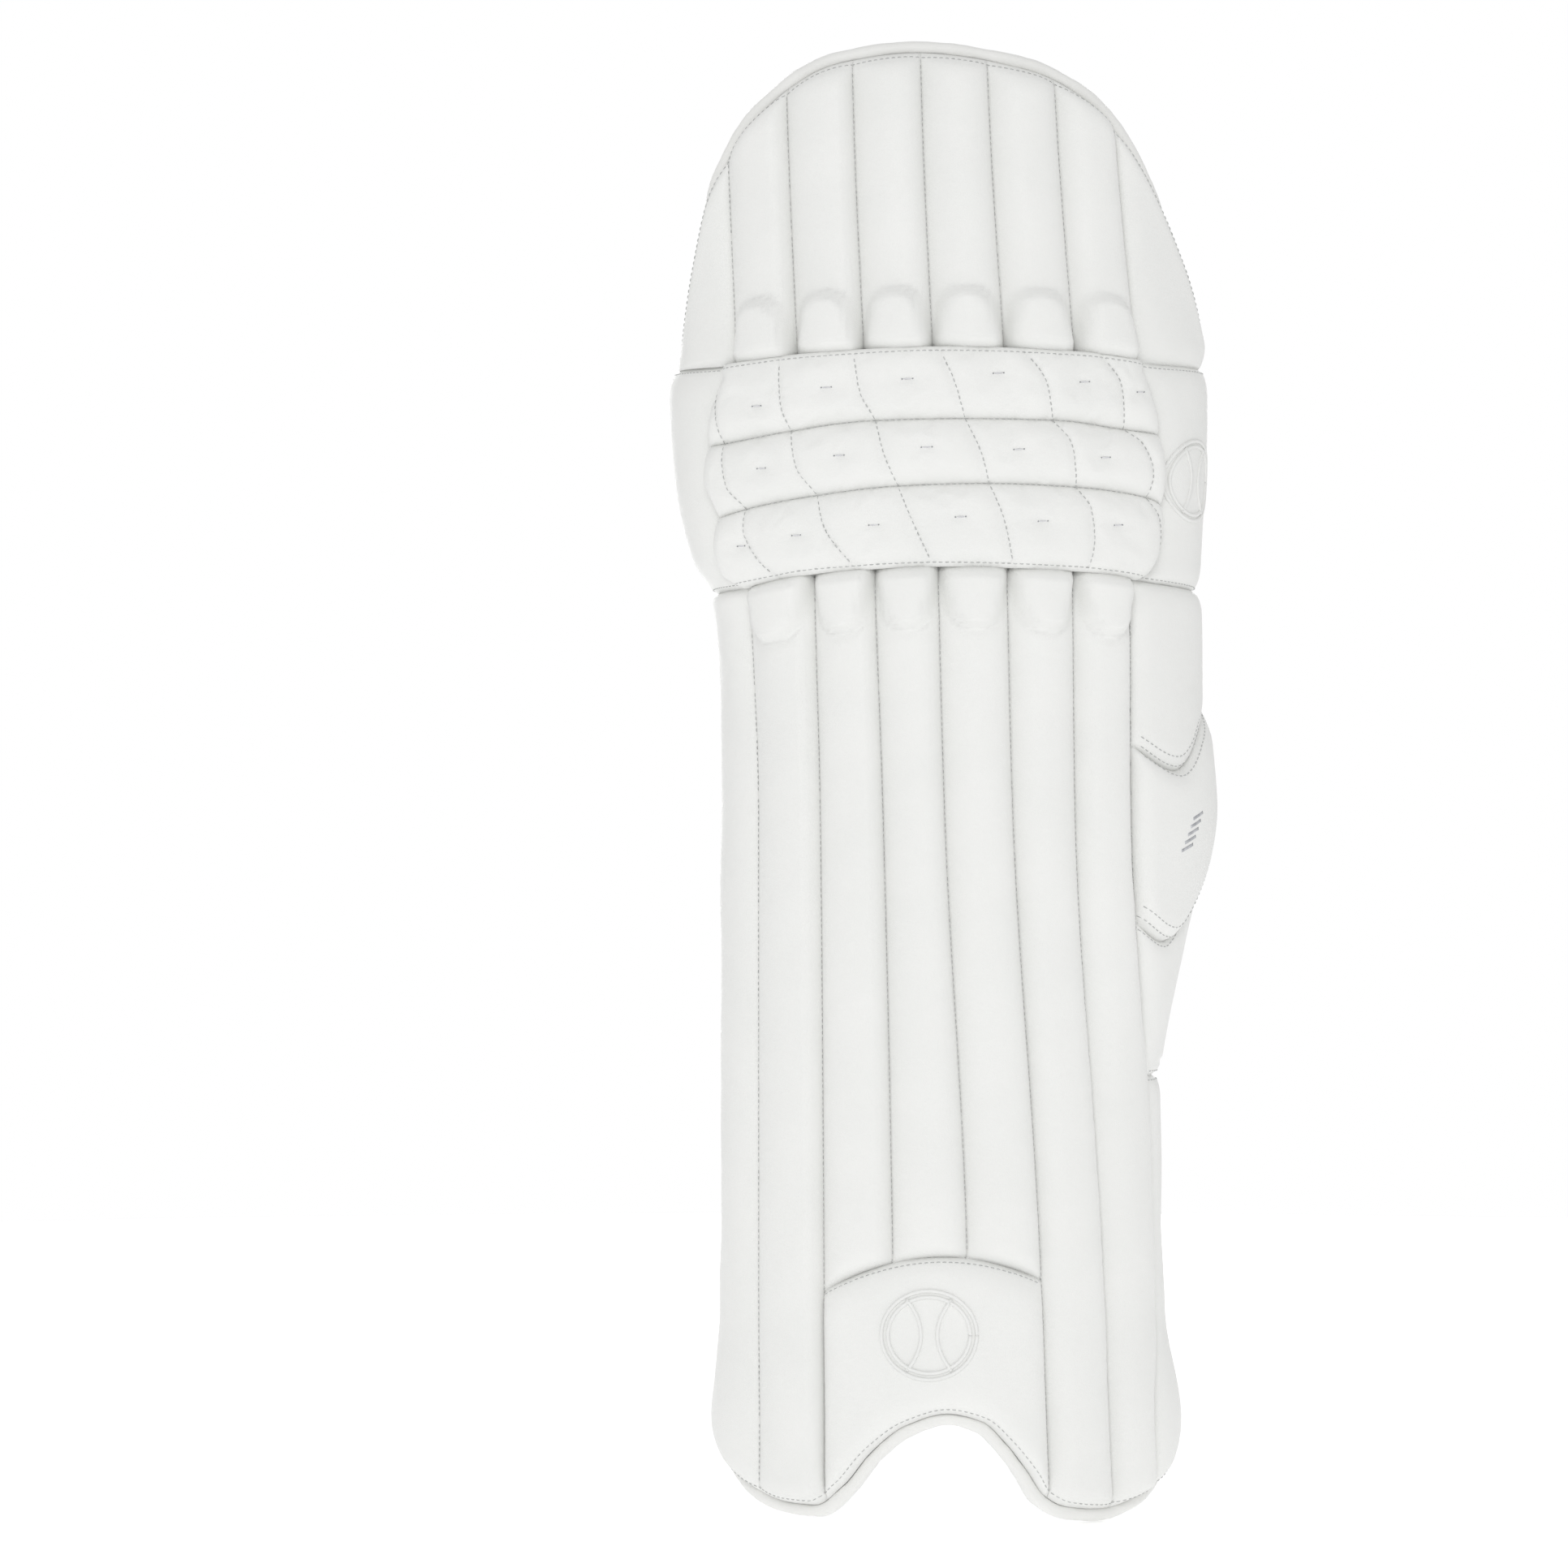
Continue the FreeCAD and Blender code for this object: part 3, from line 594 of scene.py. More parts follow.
# the knee roll as seen from the front: (height, x) knots of its two ends and of its slanting seams, (x, height)
# knots of the seams between its three rolls, and its sewn-down tufts as (x, height)
ROLL_END_IN = [(488, -97), (497, -107), (510, -111), (527, -111.5), (547, -117), (569, -116), (598, -109.5)]
ROLL_END_OUT = [(491, 95), (497, 103), (512, 108), (532, 109.5), (549, 110), (566, 108.5), (581, 106), (601, 100)]
ROLL_SLANTS = [
    [(493.5, -81), (504, -91), (518, -98), (530, -99.5), (542, -107), (564, -110), (596, -114.5)],
    [(497.5, -43.5), (519, -59), (536, -64), (550, -73), (569, -77), (584, -81), (600, -82)],
    [(498.5, -5), (519.5, -14.5), (541, -23.5), (557, -30), (575, -35), (589, -42), (607, -45)],
    [(499, 35), (523, 30), (542, 23), (559, 18), (575, 11), (595, 5), (611, -2)],
    [(497, 72.5), (513, 75), (530, 73), (540, 67.5), (564, 63), (575, 55.5), (596, 50.5), (611, 40)],
    [(492, 103), (509, 109.5), (525, 108), (536, 103), (547, 104), (564, 99), (572, 91), (595, 88), (608, 80)],
]
ROLL_PARTS = [[(-115, 526), (-98, 530.5), (-66, 536), (-25, 540.5), (23, 542), (67, 540.5), (103, 536), (114, 532)],
              [(-118, 563), (-110, 564), (-78, 569.5), (-37, 574.5), (11, 575.5), (57, 575), (91, 571), (111, 569)]]
ROLL_TUFTS = [[(-102, 510.5), (-75, 515.5), (-36, 520.5), (8.5, 524.5), (51, 522.5), (89.5, 521)],
              [(-93, 550.5), (-54, 556.5), (-9, 560.5), (38.5, 559.5), (83, 556)],
              [(-95.5, 583), (-60.5, 592), (-19, 596), (28, 599), (72.5, 595), (101, 590.5)]]
ROLL_VALLEY_VIEW, ROLL_TOP_VIEW = 1.035, 1.07       # how much farther out its seams and its crests are seen


def roll_part(knots):
    return lambda phi: along(knots, ROLL_VALLEY_VIEW * half_width(phi, 550.0) * np.sin(np.radians(phi)))


roll_ends = [seam(s) for s in (ROLL_END_IN, ROLL_END_OUT)]
roll_slants = [lambda z, s=s: angle_at(along(s, z) / ROLL_VALLEY_VIEW, z) for s in ROLL_SLANTS]
roll_parts = [knee_low, *map(roll_part, ROLL_PARTS), knee_high]


def knee_face():
    left, right = roll_ends
    for name, a, b, crown, seed in (("inner", -EDGE_KNEE, left, 5.0, 230),
                                    ("outer", right, EDGE_KNEE, 5.5, 231)):
        p = Patch(a, b, knee_low, knee_high)
        n = pad_height(p, crown, seed=seed)
        face_pad(f"knee_side_pad_{name}_leather", "knee", p, n, [f"knee_side_pad_{name}"])
    for k, name in enumerate(("lower", "middle", "upper")):
        p = Patch(left, right, roll_parts[k], roll_parts[k + 1], 1.45, 0.3)
        nearest = np.full(p.phi.shape, 99.0)
        for slant in roll_slants:
            nearest = np.minimum(nearest, np.abs(p.phi - slant(p.z)) * half_width(p.phi, p.z) * math.pi / 180)
        foot, top = (0.3 if k == 0 else 0.0), (0.35 if k == 2 else 0.0)
        round_up = (foot + (1 - foot) * fall(p.v, 15.0, 2.0)) * (top + (1 - top) * fall(p.tall - p.v, 15.0, 2.0))
        ends = fall(p.side, 13.0)
        n = 6.0 + (5.8 + 6.9 * round_up) * ends
        n = n - 1.8 * np.exp(-(nearest / 2.8) ** 1.2) * (0.3 + 0.7 * round_up) * ends
        n = n + 0.3 * waves(p.u, p.v, 22.0, 240 + k) * round_up
        held = (nearest < 0.85) | (p.side < 0.5) | (p.v < 0.5) | (p.tall - p.v < 0.5)
        for x, z in ROLL_TUFTS[k]:
            phi = angle_at(x / ROLL_TOP_VIEW, z)
            dx, dz = (p.phi - phi) * half_width(phi, z) * math.pi / 180, p.z - z
            away = np.hypot(np.maximum(np.abs(dx) - 1.8, 0), dz)
            n = n - 1.9 * np.exp(-(away / 2.8) ** 1.1)
            held |= away < 1.0
            TUFTS.append((phi, z))
        outer = settle(p.at(n), held, PUFF, cap=1.8, grow=0.008, bend=1.0)
        extra = ["knee_roll_cover"] if k == 0 else []
        front_piece(f"knee_roll_{name}_leather", "knee", p, outer, [f"knee_roll_{name}", *extra])


# ---- bindings ----
def rim_path(edge, phis, out, sign):
    """Angles and heights beside an outline z = edge(phi), moved out of it; sign is 1 above it and -1 below."""
    z = edge(phis)
    p = np.radians(phis)
    run = np.radians(1.0) * np.hypot(half_width(phis, z) * np.cos(p), along(DEPTH, z) * np.sin(p))
    rise = edge(phis + 0.5) - edge(phis - 0.5)
    size = np.hypot(rise, run)
    return phis - sign * out * rise / size / run, z + sign * out * run / size


def side_path(side, edge_phi, heights, out=4.0):
    p = math.radians(edge_phi)
    stretch = np.hypot(half_width(side, heights) * math.cos(p), along(DEPTH, heights) * math.sin(p))
    return side * (edge_phi + np.degrees(out / stretch)), heights


def swept(name, centres, outs, fronts, material, half_out, half_front, ring=14, seed=0, lumps=(0.05, 0.02)):
    """A closed soft tube of oval section along centres; outs and fronts are its section's two directions, and
    half_out and half_front its half sizes along them."""
    q = np.linspace(0, 2 * math.pi, ring, endpoint=False)
    length = np.concatenate([[0], np.cumsum(np.linalg.norm(np.diff(centres, axis=0), axis=1))])
    slow, fine = waves(length, 0 * length, 14.0, seed), waves(length, 0 * length, 3.8, seed + 1)
    lump = (1 + lumps[0] * slow + lumps[1] * fine)[:, None, None]
    half_front = np.broadcast_to(half_front, (len(centres),))[:, None, None]
    c, s = (np.sign(f(q)) * np.abs(f(q)) ** 0.8 for f in (np.cos, np.sin))
    points = centres[:, None] + lump * (outs[:, None] * half_out * c[None, :, None]
                                        + fronts[:, None] * half_front * s[None, :, None])
    rows = len(centres)
    i = np.arange(rows * ring).reshape(rows, ring)
    j = np.roll(i, -1, axis=1)
    quads = np.stack([i[:-1], j[:-1], j[1:], i[1:]], -1).reshape(-1, 4)
    points = np.concatenate([points.reshape(-1, 3), centres[:1], centres[-1:]])
    caps = [(rows * ring, b, a) for a, b in zip(i[0], j[0])]
    caps += [(rows * ring + 1, a, b) for a, b in zip(i[-1], j[-1])]
    uv = np.stack(np.broadcast_arrays(length[:, None], q[None, :] * half_front[:, :, 0]), -1).reshape(-1, 2)
    return mesh_object(name, points, quads, material, np.concatenate([uv, [[0, 0], [0, 0]]]), caps)


def binding(name, body, phi, z, nodes, seed, blend_to=None):
    """A rolled leather edge over the board's edge, along places (phi, z) beside it."""
    beside = 0.0 * z + (0.35 if body == "knee" else 0.0)       # how much of the board's edge it leaves bare
    if body == "shin":
        beside = smooth((z - GATHER_LOW) / 8.0) * smooth((GATHER_HIGH - z) / 8.0)
    centres = form(phi, z, -BACK / 2 + 1.8 + 2.3 * beside)
    fronts = form(phi, z, 1.0) - form(phi, z, 0.0)
    outs = np.cross(tangents(centres), fronts)
    obj = swept(name, centres, outs, fronts, BINDING_LEATHER, 3.7, BACK / 2 + 0.6 - 2.1 * beside, seed=seed)
    finish_piece(obj, body, nodes, blend_to)


def bindings():
    phis = np.linspace(-EDGE_HAT, EDGE_HAT, 260)
    binding("hat_binding_leather", "top_hat", *rim_path(hat_top, phis, 3.0, 1), ["hat_binding"], 301, KNEE_TO_HAT)
    for side, word in ((-1, "inner"), (1, "outer")):
        phi, z = side_path(side, EDGE_KNEE, np.linspace(486, 606, 60), 3.0)
        binding(f"knee_binding_{word}", "knee", phi, z, ["knee_binding"], 302 + side)
    phis = np.linspace(1.0 - EDGE_SHIN, EDGE_SHIN - 1.0, 420)
    down, up = np.linspace(486, 106, 180), np.linspace(106, 486, 180)
    parts = [side_path(-1, EDGE_SHIN, down, 3.0), rim_path(foot_bottom, phis, 3.0, -1),
             side_path(1, EDGE_SHIN, up, 3.0)]
    phi, z = (np.concatenate([part[k] for part in parts]) for k in (0, 1))
    binding("shin_binding_leather", "shin", phi, z, ["shin_binding"], 305, SHIN_TO_KNEE)


# ---- stitches and lines laid on finished surfaces ----
def tree_of(objects):
    """A search tree over the surfaces of some pieces."""
    sheet = bmesh.new()
    for obj in objects:
        sheet.from_mesh(obj.data)
    tree = BVHTree.FromBMesh(sheet)
    sheet.free()
    return tree


def lay(tree, phi, z, rear=False):
    """Where places on the form meet a tree's surface, seen from outside or from the leg: points, normals, found."""
    far, near = (-60.0, 0.0) if rear else (45.0, 0.0)
    starts, ends = form(phi, z, far).reshape(-1, 3), form(phi, z, near).reshape(-1, 3)
    return cast(tree, starts, ends - starts)


def cast(tree, starts, ways):
    points, normals, found = np.zeros(starts.shape), np.zeros(starts.shape), np.zeros(len(starts), bool)
    for k, (start, way) in enumerate(zip(starts, ways)):
        hit, normal, _, _ = tree.ray_cast(Vector(start * MM), Vector(way).normalized())
        if hit is not None:
            if normal.dot(Vector(way)) > 0:
                normal = -normal
            points[k], normals[k], found[k] = np.array(hit) / MM, normal, True
    return points, normals, found


def spaced(phi, z, pitch, length):
    """Starts and ends, as (angle, height), of stitches along a line of the form."""
    phi, z = np.broadcast_arrays(np.asarray(phi, float), np.asarray(z, float))
    track = np.concatenate([[0], np.cumsum(np.linalg.norm(np.diff(form(phi, z, 5.0), axis=0), axis=1))])
    start = np.arange(pitch * 0.5, track[-1] - length, pitch)
    return [(np.interp(s, track, phi), np.interp(s, track, z)) for s in (start, start + length)]


def thread_mesh(name, a, b, normals, radius, material, arch=0.8):
    """Short arched threads from points a to points b, each a closed four-sided tube."""
    count = len(a)
    t = np.array([0.0, 0.16, 0.5, 0.84, 1.0])
    size = np.array([0.45, 0.95, 1.0, 0.95, 0.45]) * radius
    lift = np.array([-0.9, 0.25, arch, 0.25, -0.9]) * radius
    way = b - a
    side = unit(np.cross(way, normals))
    centre = a[:, None] + way[:, None] * t[:, None] + normals[:, None] * lift[:, None]
    corners = [(1, 0), (0, 1), (-1, 0), (0, -1)]
    points = np.stack([centre + size[:, None] * (side[:, None] * c + normals[:, None] * s) for c, s in corners], 2)
    i = np.arange(count * 20).reshape(count, 5, 4)
    j = np.roll(i, -1, axis=2)
    quads = np.stack([i[:, :-1], j[:, :-1], j[:, 1:], i[:, 1:]], -1).reshape(-1, 4)
    quads = np.concatenate([quads, i[:, 0, ::-1], i[:, 4]])
    return mesh_object(name, points, quads, material)


def stitching(name, body, tree, lines, material=GREY_THREAD, pitch=3.1, length=2.3, radius=0.28, rear=False,
              blend_to=None):
    """Rows of stitches along lines of (angles, heights), on the surface that the tree holds."""
    starts, ends, ups = [], [], []
    for phi, z in lines:
        (p0, z0), (p1, z1) = spaced(phi, z, pitch, length)
        a, na, fa = lay(tree, p0, z0, rear)
        b, _, fb = lay(tree, p1, z1, rear)
        good = fa & fb & (np.linalg.norm(a - b, axis=1) < length * 1.8)
        starts.append(a[good])
        ends.append(b[good])
        ups.append(na[good])
    obj = thread_mesh(name, *map(np.concatenate, (starts, ends, ups)), radius, material)
    finish_piece(obj, body, [], blend_to)


def upright(angle, low, high, count=240):
    """A line up the form at angle(z) from height low to high."""
    z = np.linspace(float(low), float(high), count)
    return as_call(angle)(z), z


def level(height, left, right, count=240, shift=0.0):
    """A line round the form at height(phi) + shift from angle left to right."""
    phi = np.linspace(float(left), float(right), count)
    return phi, as_call(height)(phi) + shift


def drawn(name, body, tree, lines, material, width, height, rear=False, blend_to=None):
    """Flat raised strips along closed or open lines of (angles, heights), for embossing, foil and print."""
    sunk = 0.25
    points, quads = [], []
    for phi, z in lines:
        p, n, found = lay(tree, phi, z, rear)
        p, n = p[found], n[found]
        if len(p) < 3:
            continue
        side = np.cross(tangents(p), n)
        half = width / 2
        section = ((-1, -sunk), (-0.72, height), (0.72, height), (1, -sunk))
        ring = np.stack([p + side * half * across + n * up for across, up in section], 1)
        start = sum(map(len, points))
        count = len(p)
        i = np.arange(count * 4).reshape(count, 4) + start
        j = np.roll(i, -1, axis=1)
        points.append(ring.reshape(-1, 3))
        quads += [np.stack([i[:-1], j[:-1], j[1:], i[1:]], -1).reshape(-1, 4), i[:1, ::-1], i[-1:]]
    obj = mesh_object(name, np.concatenate(points), np.concatenate(quads), material)
    finish_piece(obj, body, [], blend_to)


def emblem(x, z, radius):
    """Lines of a plain ball mark at a place seen from the front, as (angles, heights): two rings and two seams."""
    return [(angle_at(x + dx, z + dz), z + dz) for dx, dz in ball_mark(radius)]


def side_emblem(phi, z, radius):
    """The same mark laid on the side of the form at angle phi."""
    run = np.radians(1.0) * np.hypot(half_width(phi, z) * math.cos(math.radians(phi)),
                                     along(DEPTH, z) * math.sin(math.radians(phi)))
    return [(phi + dx / run, z + dz) for dx, dz in ball_mark(radius)]


def ball_mark(radius):
    q = np.linspace(0, 2 * math.pi, 97)
    lines = [(radius * np.cos(q), radius * np.sin(q)), (0.86 * radius * np.cos(q), 0.86 * radius * np.sin(q))]
    t = np.linspace(-1, 1, 41)
    for side in (-1, 1):
        bow = side * radius * (0.17 + 0.30 * t * t)
        lines.append((bow, t * radius * 0.80))
    return lines


def hat_stitches(hat):
    lines = [upright(s, knee_high(s(620.0)) + 6, hat_top(s(740.0)) - 3) for s in hat_seams]
    lines.append(rim_path(hat_top, np.linspace(-EDGE_HAT + 2, EDGE_HAT - 2, 300), -2.6, 1))
    stitching("hat_stitching", "top_hat", hat, lines, blend_to=KNEE_TO_HAT)


def shin_stitches(shin):
    lines = []
    for k, s in enumerate(shin_seams):
        low = instep_top(s(140.0)) + 3 if k in (2, 3) else foot_bottom(s(20.0)) + 5
        lines.append(upright(s, low, knee_low(s(480.0)) - 7, 500))
    lines.append(level(instep_top, shin_seams[1](138.0), shin_seams[4](138.0), shift=-2.4))
    lines.append(rim_path(foot_bottom, np.linspace(2 - EDGE_SHIN, EDGE_SHIN - 2, 500), -2.8, -1))
    for side in (-1, 1):
        lines.append(upright(side * (EDGE_SHIN - 1.6), 110, 478, 300))
    for knots in (CHEVRON_UPPER, CHEVRON_LOWER):
        left = shin_seams[6](knots[0][1])
        for shift in (-2.6, 2.6, 7.6):
            lines.append(level(rim_of(knots), left + 1.5, EDGE_SHIN - 2, shift=shift))
    left = shin_seams[6](WING_END)
    lines += [level(WING_END, left + 1, EDGE_SHIN - 2, shift=s) for s in (-2.4, 2.4)]
    stitching("shin_stitching", "shin", shin, lines, blend_to=SHIN_TO_KNEE)


def knee_stitches(knee):
    lines = [level(knee_low, 2 - EDGE_KNEE, EDGE_KNEE - 2, 400, 2.2),
             level(knee_high, 2 - EDGE_KNEE, EDGE_KNEE - 2, 400, -2.2)]
    lines += [level(part, -56, 55, 400) for part in roll_parts[1:3]]
    lines += [upright(end, knee_low(end(500.0)) + 2, knee_high(end(600.0)) - 2) for end in roll_ends]
    for slant in roll_slants:
        lines.append(upright(slant, knee_low(slant(490.0)) + 3, knee_high(slant(610.0)) - 3))
    for side in (-1, 1):
        lines.append(upright(side * (EDGE_KNEE - 1.6), 490, 602))
    stitching("knee_stitching", "knee", knee, lines)


def tufts(knee):
    """The knee roll's sewn-down points: a white thread bridge between two holes, whose shade is painted on short
    dark grey threads.
    """
    phi, z = np.array(TUFTS).T
    for name, spans, radius, material in (("knee_tufts", [(-1.9, 1.9)], 0.34, WHITE_THREAD),
                                          ("knee_tuft_hole_shade", [(-2.6, -1.8), (1.8, 2.6)], 0.36, HOLE_SHADE_THREAD)):
        ends = []
        for side in (0, 1):
            ends.append(np.concatenate([lay(knee, phi + s[side] * 0.5, z + s[side] * 0.06)[0] for s in spans]))
        ups = np.concatenate([lay(knee, phi, z)[1] for _ in spans])
        finish_piece(thread_mesh(name, *ends, ups, radius, material, 0.7), "knee", [])


def front_details():
    hat, shin, knee = (tree_of(FACES[b]) for b in ("top_hat", "shin", "knee"))
    hat_stitches(hat)
    shin_stitches(shin)
    knee_stitches(knee)
    tufts(knee)
    drawn("instep_emblem", "shin", shin, emblem(-7.0, 100.0, 23.0), WHITE_LEATHER, 2.2, 1.0)
    drawn("knee_side_emblem", "knee", knee, side_emblem(72.5, 546.0, 21.0), WHITE_LEATHER, 2.2, 0.95)
    bars = [(np.linspace(62.5, 67.5, 9) + 0.9 * k, np.linspace(351.0, 354.5, 9) + 4.2 * k) for k in range(5)]
    drawn("wing_bars", "shin", shin, bars, SILVER_FOIL, 2.2, 0.12)


# ---- the leg side: linings, cushions and panels ----
def rear_pad(name, body, patch, depth, nodes, material, blend_to=None, start=BACK + 0.3,
             puff=None, pins=False, cap=3.0, grow=0.02, bend=0.4, base=None):
    """A closed piece facing the leg: depth is how far it stands off the lining. puff swells it in simulation."""
    inner = patch.at(-start - depth)
    if puff:
        held = np.ones(patch.phi.shape, bool)
        held[2:-2, 2:-2] = False
        inner = settle(inner, held | pins, puff, cap=cap, grow=grow, bend=bend, flip=True)
    obj = closed(name, patch.at(0.2 - start if base is None else base), inner, material, patch.uv())
    finish_piece(obj, body, nodes, blend_to)
    REAR[name] = obj


def linings():
    p = Patch(-EDGE_HAT, EDGE_HAT, knee_high, hat_top, 2.6)
    n = 0.9 * waves(p.u, p.v, 60.0, 401) - 0.3
    n = n + 0.5 * waves(p.u, p.v * 0.4, 9.0, 402) * np.exp(-np.minimum(p.side, p.tall - p.v) / 9.0)
    rear_pad("hat_back_panel", "top_hat", p, n, ["hat_core", "hat_lining"], HAT_BACK_SHADED_LEATHER,
             KNEE_TO_HAT, start=BACK - 0.6, base=0.1)
    for name, edge, low, high, step, size, seed, blend_to in (
            ("knee", EDGE_KNEE, knee_low, knee_high, 3.0, 0.5, 403, None),
            ("shin", EDGE_SHIN, foot_bottom, knee_low, 2.4, 0.4, 406, SHIN_TO_KNEE)):
        p = Patch(-edge, edge, low, high, step)
        n = size * waves(p.u, p.v, 30.0, seed)
        rear_pad(f"{name}_back_lining", name, p, n, [f"{name}_core", f"{name}_lining"], LINING_CLOTH,
                 blend_to, start=BACK - 0.6, base=0.1)


QUILTING = ((33.0, 43.7, 5.0), (-60.0, 37.0, 12.0))     # each family of quilting lines: slope, spacing and start


def gathers():
    """The puckered cloth strips that run over the board's two side edges, inside the binding."""
    for side, word, seed in ((-1, "inner", 450), (1, "outer", 451)):
        phi, z = side_path(side, EDGE_SHIN, np.linspace(GATHER_LOW + 2, GATHER_HIGH - 2, 720), 0.6)
        centres = form(phi, z, -BACK + 0.6)
        fronts = form(phi, z, 1.0) - form(phi, z, 0.0)
        outs = np.cross(tangents(centres), fronts)
        obj = swept(f"wing_gather_{word}", centres, outs, fronts, LINING_CLOTH, 3.6, 5.0, 18, seed, (0.05, 0.11))
        finish_piece(obj, "shin", [])


def quilt_lines(p):
    """How far each place lies along each family's crossing direction, and the distance to the nearest line."""
    tracks = []
    for slope, gap, start in QUILTING:
        t = math.radians(slope)
        tracks.append((p.z * math.cos(t) - p.x * math.sin(t) + start) / gap)
    away = [np.abs(track - np.round(track)) * gap for track, (_, gap, _) in zip(tracks, QUILTING)]
    return tracks, np.minimum(*away)


def drawn_in(z, step):
    """How far quilting draws a bolster's edge in at height z, once in each step."""
    return 1.1 * np.abs(np.sin(math.pi * np.asarray(z) / step)) - 0.5


def bolsters():
    edge_out = lambda z: along([(PANEL_FOOT, 41), (PANEL_TOP, 61)], z) + drawn_in(z, 27.0)
    edge_in = lambda z: -along([(PANEL_FOOT, 43), (PANEL_TOP, 61)], z) - drawn_in(z, 27.0)
    beside_out = lambda z: 14.9 - 0.7 * drawn_in(z, 23.0)
    wavy = lambda base, seed: (lambda phi: base + 1.6 * np.sin(np.asarray(phi) * 0.55 + seed))
    for name, a, b, seed in (("bolster_outer", beside_out, edge_out, 1), ("bolster_inner", edge_in, -20.6, 2)):
        p = Patch(a, b, wavy(PANEL_FOOT - 2, seed), PANEL_TOP, 2.3, 0.3)
        cover = fall(p.side, p.wide * 0.5, 2.0) * fall(p.v, 14.0) * fall(p.tall - p.v, 14.0)
        tracks, away = quilt_lines(p)
        pillow = 1 - (1 - np.clip(away / 15.0, 0, 1)) ** 2.4
        n = 7.5 + (13.0 + 5.0 * pillow) * cover - 0.9 * np.exp(-(away / 1.5) ** 1.5) * cover
        n = n + 0.5 * waves(p.u, p.v, 14.0, 410 + seed) * cover * pillow
        rear_pad(name + "_quilt", "shin", p, n, [name], QUILT_CLOTH, puff=PUFF,
                 pins=away < 1.0, cap=2.4, grow=0.02, bend=1.2)
        QUILTS[name] = (p, tracks)


def shin_panel():
    p = Patch(-20.5, 14.0, as_call(PANEL_FOOT - 1), PANEL_TOP, 2.4)
    n = 3.0 + 9.5 * fall(p.side, p.wide * 0.5, 2.0) * fall(p.v, 8.0) * fall(p.tall - p.v, 8.0)
    n = n + 0.45 * waves(p.u, p.v, 45.0, 420)
    rear_pad("shin_panel_gloss", "shin", p, n, ["shin_panel"], PANEL_LEATHER)


def knee_cup():
    scallop = lambda phi: knee_low(phi) + 1.5 + 3.0 * np.abs(np.sin(np.asarray(phi) * 0.378))
    peak = lambda phi: knee_high(phi) - 3.0 + 5.0 * np.exp(-((np.asarray(phi) + 4.0) / 6.0) ** 2)
    p = Patch(-27.0, 17.5, scallop, peak, 2.0)
    n = 3.0 + 12.0 * fall(p.side, 15.0) * fall(p.v, 12.0) * fall(p.tall - p.v, 14.0)
    n = n + 0.5 * waves(p.u, p.v, 34.0, 421)
    rear_pad("knee_cup_pad", "knee", p, n, ["knee_cup"], PANEL_LEATHER, puff=PUFF * 0.6, cap=2.5,
             grow=0.015)


def knee_flaps():
    low, high = rim_of(FLAP_LOW), rim_of(FLAP_HIGH)
    for word, a, b, seed in (("outer", 16.0, 93.0, 430), ("inner", -93.0, -25.0, 431)):
        p = Patch(a, b, low, high, 2.2)
        cover = fall(p.side, 20.0) * fall(p.v, 16.0) * fall(p.tall - p.v, 12.0)
        n = 3.5 + 8.5 * cover + 0.8 * waves(p.u, p.v, 50.0, seed) * cover
        hem = np.minimum(p.tall - p.v, p.side)
        n = n - 0.9 * np.exp(-((hem - 5.5) / 1.3) ** 2)
        n = n + 0.5 * waves(p.u, p.v, 5.0, seed + 5) * np.exp(-hem / 5.0)
        rear_pad(f"knee_flap_{word}_cloth", "knee", p, n, [f"knee_flap_{word}"], QUILT_CLOTH,
                 puff=PUFF, pins=np.abs(hem - 5.5) < 1.2, cap=3.0, grow=0.03)


def ankle_pads():
    for word, a, b, seed in (("inner", -84.0, -38.3, 440), ("middle", -37.8, 14.3, 441),
                             ("outer", 14.8, 84.0, 442)):
        p = Patch(a, b, lambda phi: foot_bottom(phi) + 1.0, PANEL_FOOT + 3.0, 2.2)
        n = 1.0 + 6.8 * fall(p.side, 8.0) * fall(p.v, 9.0) * fall(p.tall - p.v, 9.0)
        n = n + 0.4 * waves(p.u, p.v, 30.0, seed)
        nodes = ["ankle_lining_pads"] if word == "middle" else []
        rear_pad(f"ankle_pad_{word}", "shin", p, n, nodes, ANKLE_LEATHER)


def quilt_stitches(trees):
    for name, (p, tracks) in QUILTS.items():
        lines = []
        for track, (slope, gap, start) in zip(tracks, QUILTING):
            t = math.radians(slope)
            for k in range(int(track.min()), int(track.max()) + 2):
                x = np.linspace(p.x.min(), p.x.max(), 700)
                z = (k * gap - start + x * math.sin(t)) / math.cos(t)
                phi = angle_at(x, z)
                inside = ((phi > np.interp(z, p.z[:, 0], p.phi[:, 0]) + 4) & (z > PANEL_FOOT + 5)
                          & (phi < np.interp(z, p.z[:, -1], p.phi[:, -1]) - 4) & (z < PANEL_TOP - 5))
                if inside.sum() > 12:
                    lines.append((phi[inside], z[inside]))
        stitching(name + "_stitching", "shin", trees[name + "_quilt"], lines, WHITE_THREAD, 3.2, 2.3, 0.3, True)


def hat_back_marks(tree):
    """A pressed ball mark over a row of pressed dashes."""
    drawn("hat_back_emblem", "top_hat", tree, emblem(-19.0, 711.0, 24.0), HAT_BACK_SHADED_LEATHER, 2.1, 0.9, True,
          KNEE_TO_HAT)
    dashes = []
    for x in np.arange(-68, 28, 8.4):
        phi = angle_at(np.linspace(x, x + 5.0, 6), np.full(6, 668.0))
        dashes.append((phi, np.linspace(664.5, 671.5, 6)))
    drawn("hat_back_dashes", "top_hat", tree, dashes, HAT_BACK_SHADED_LEATHER, 2.4, 0.8, True,
          KNEE_TO_HAT)


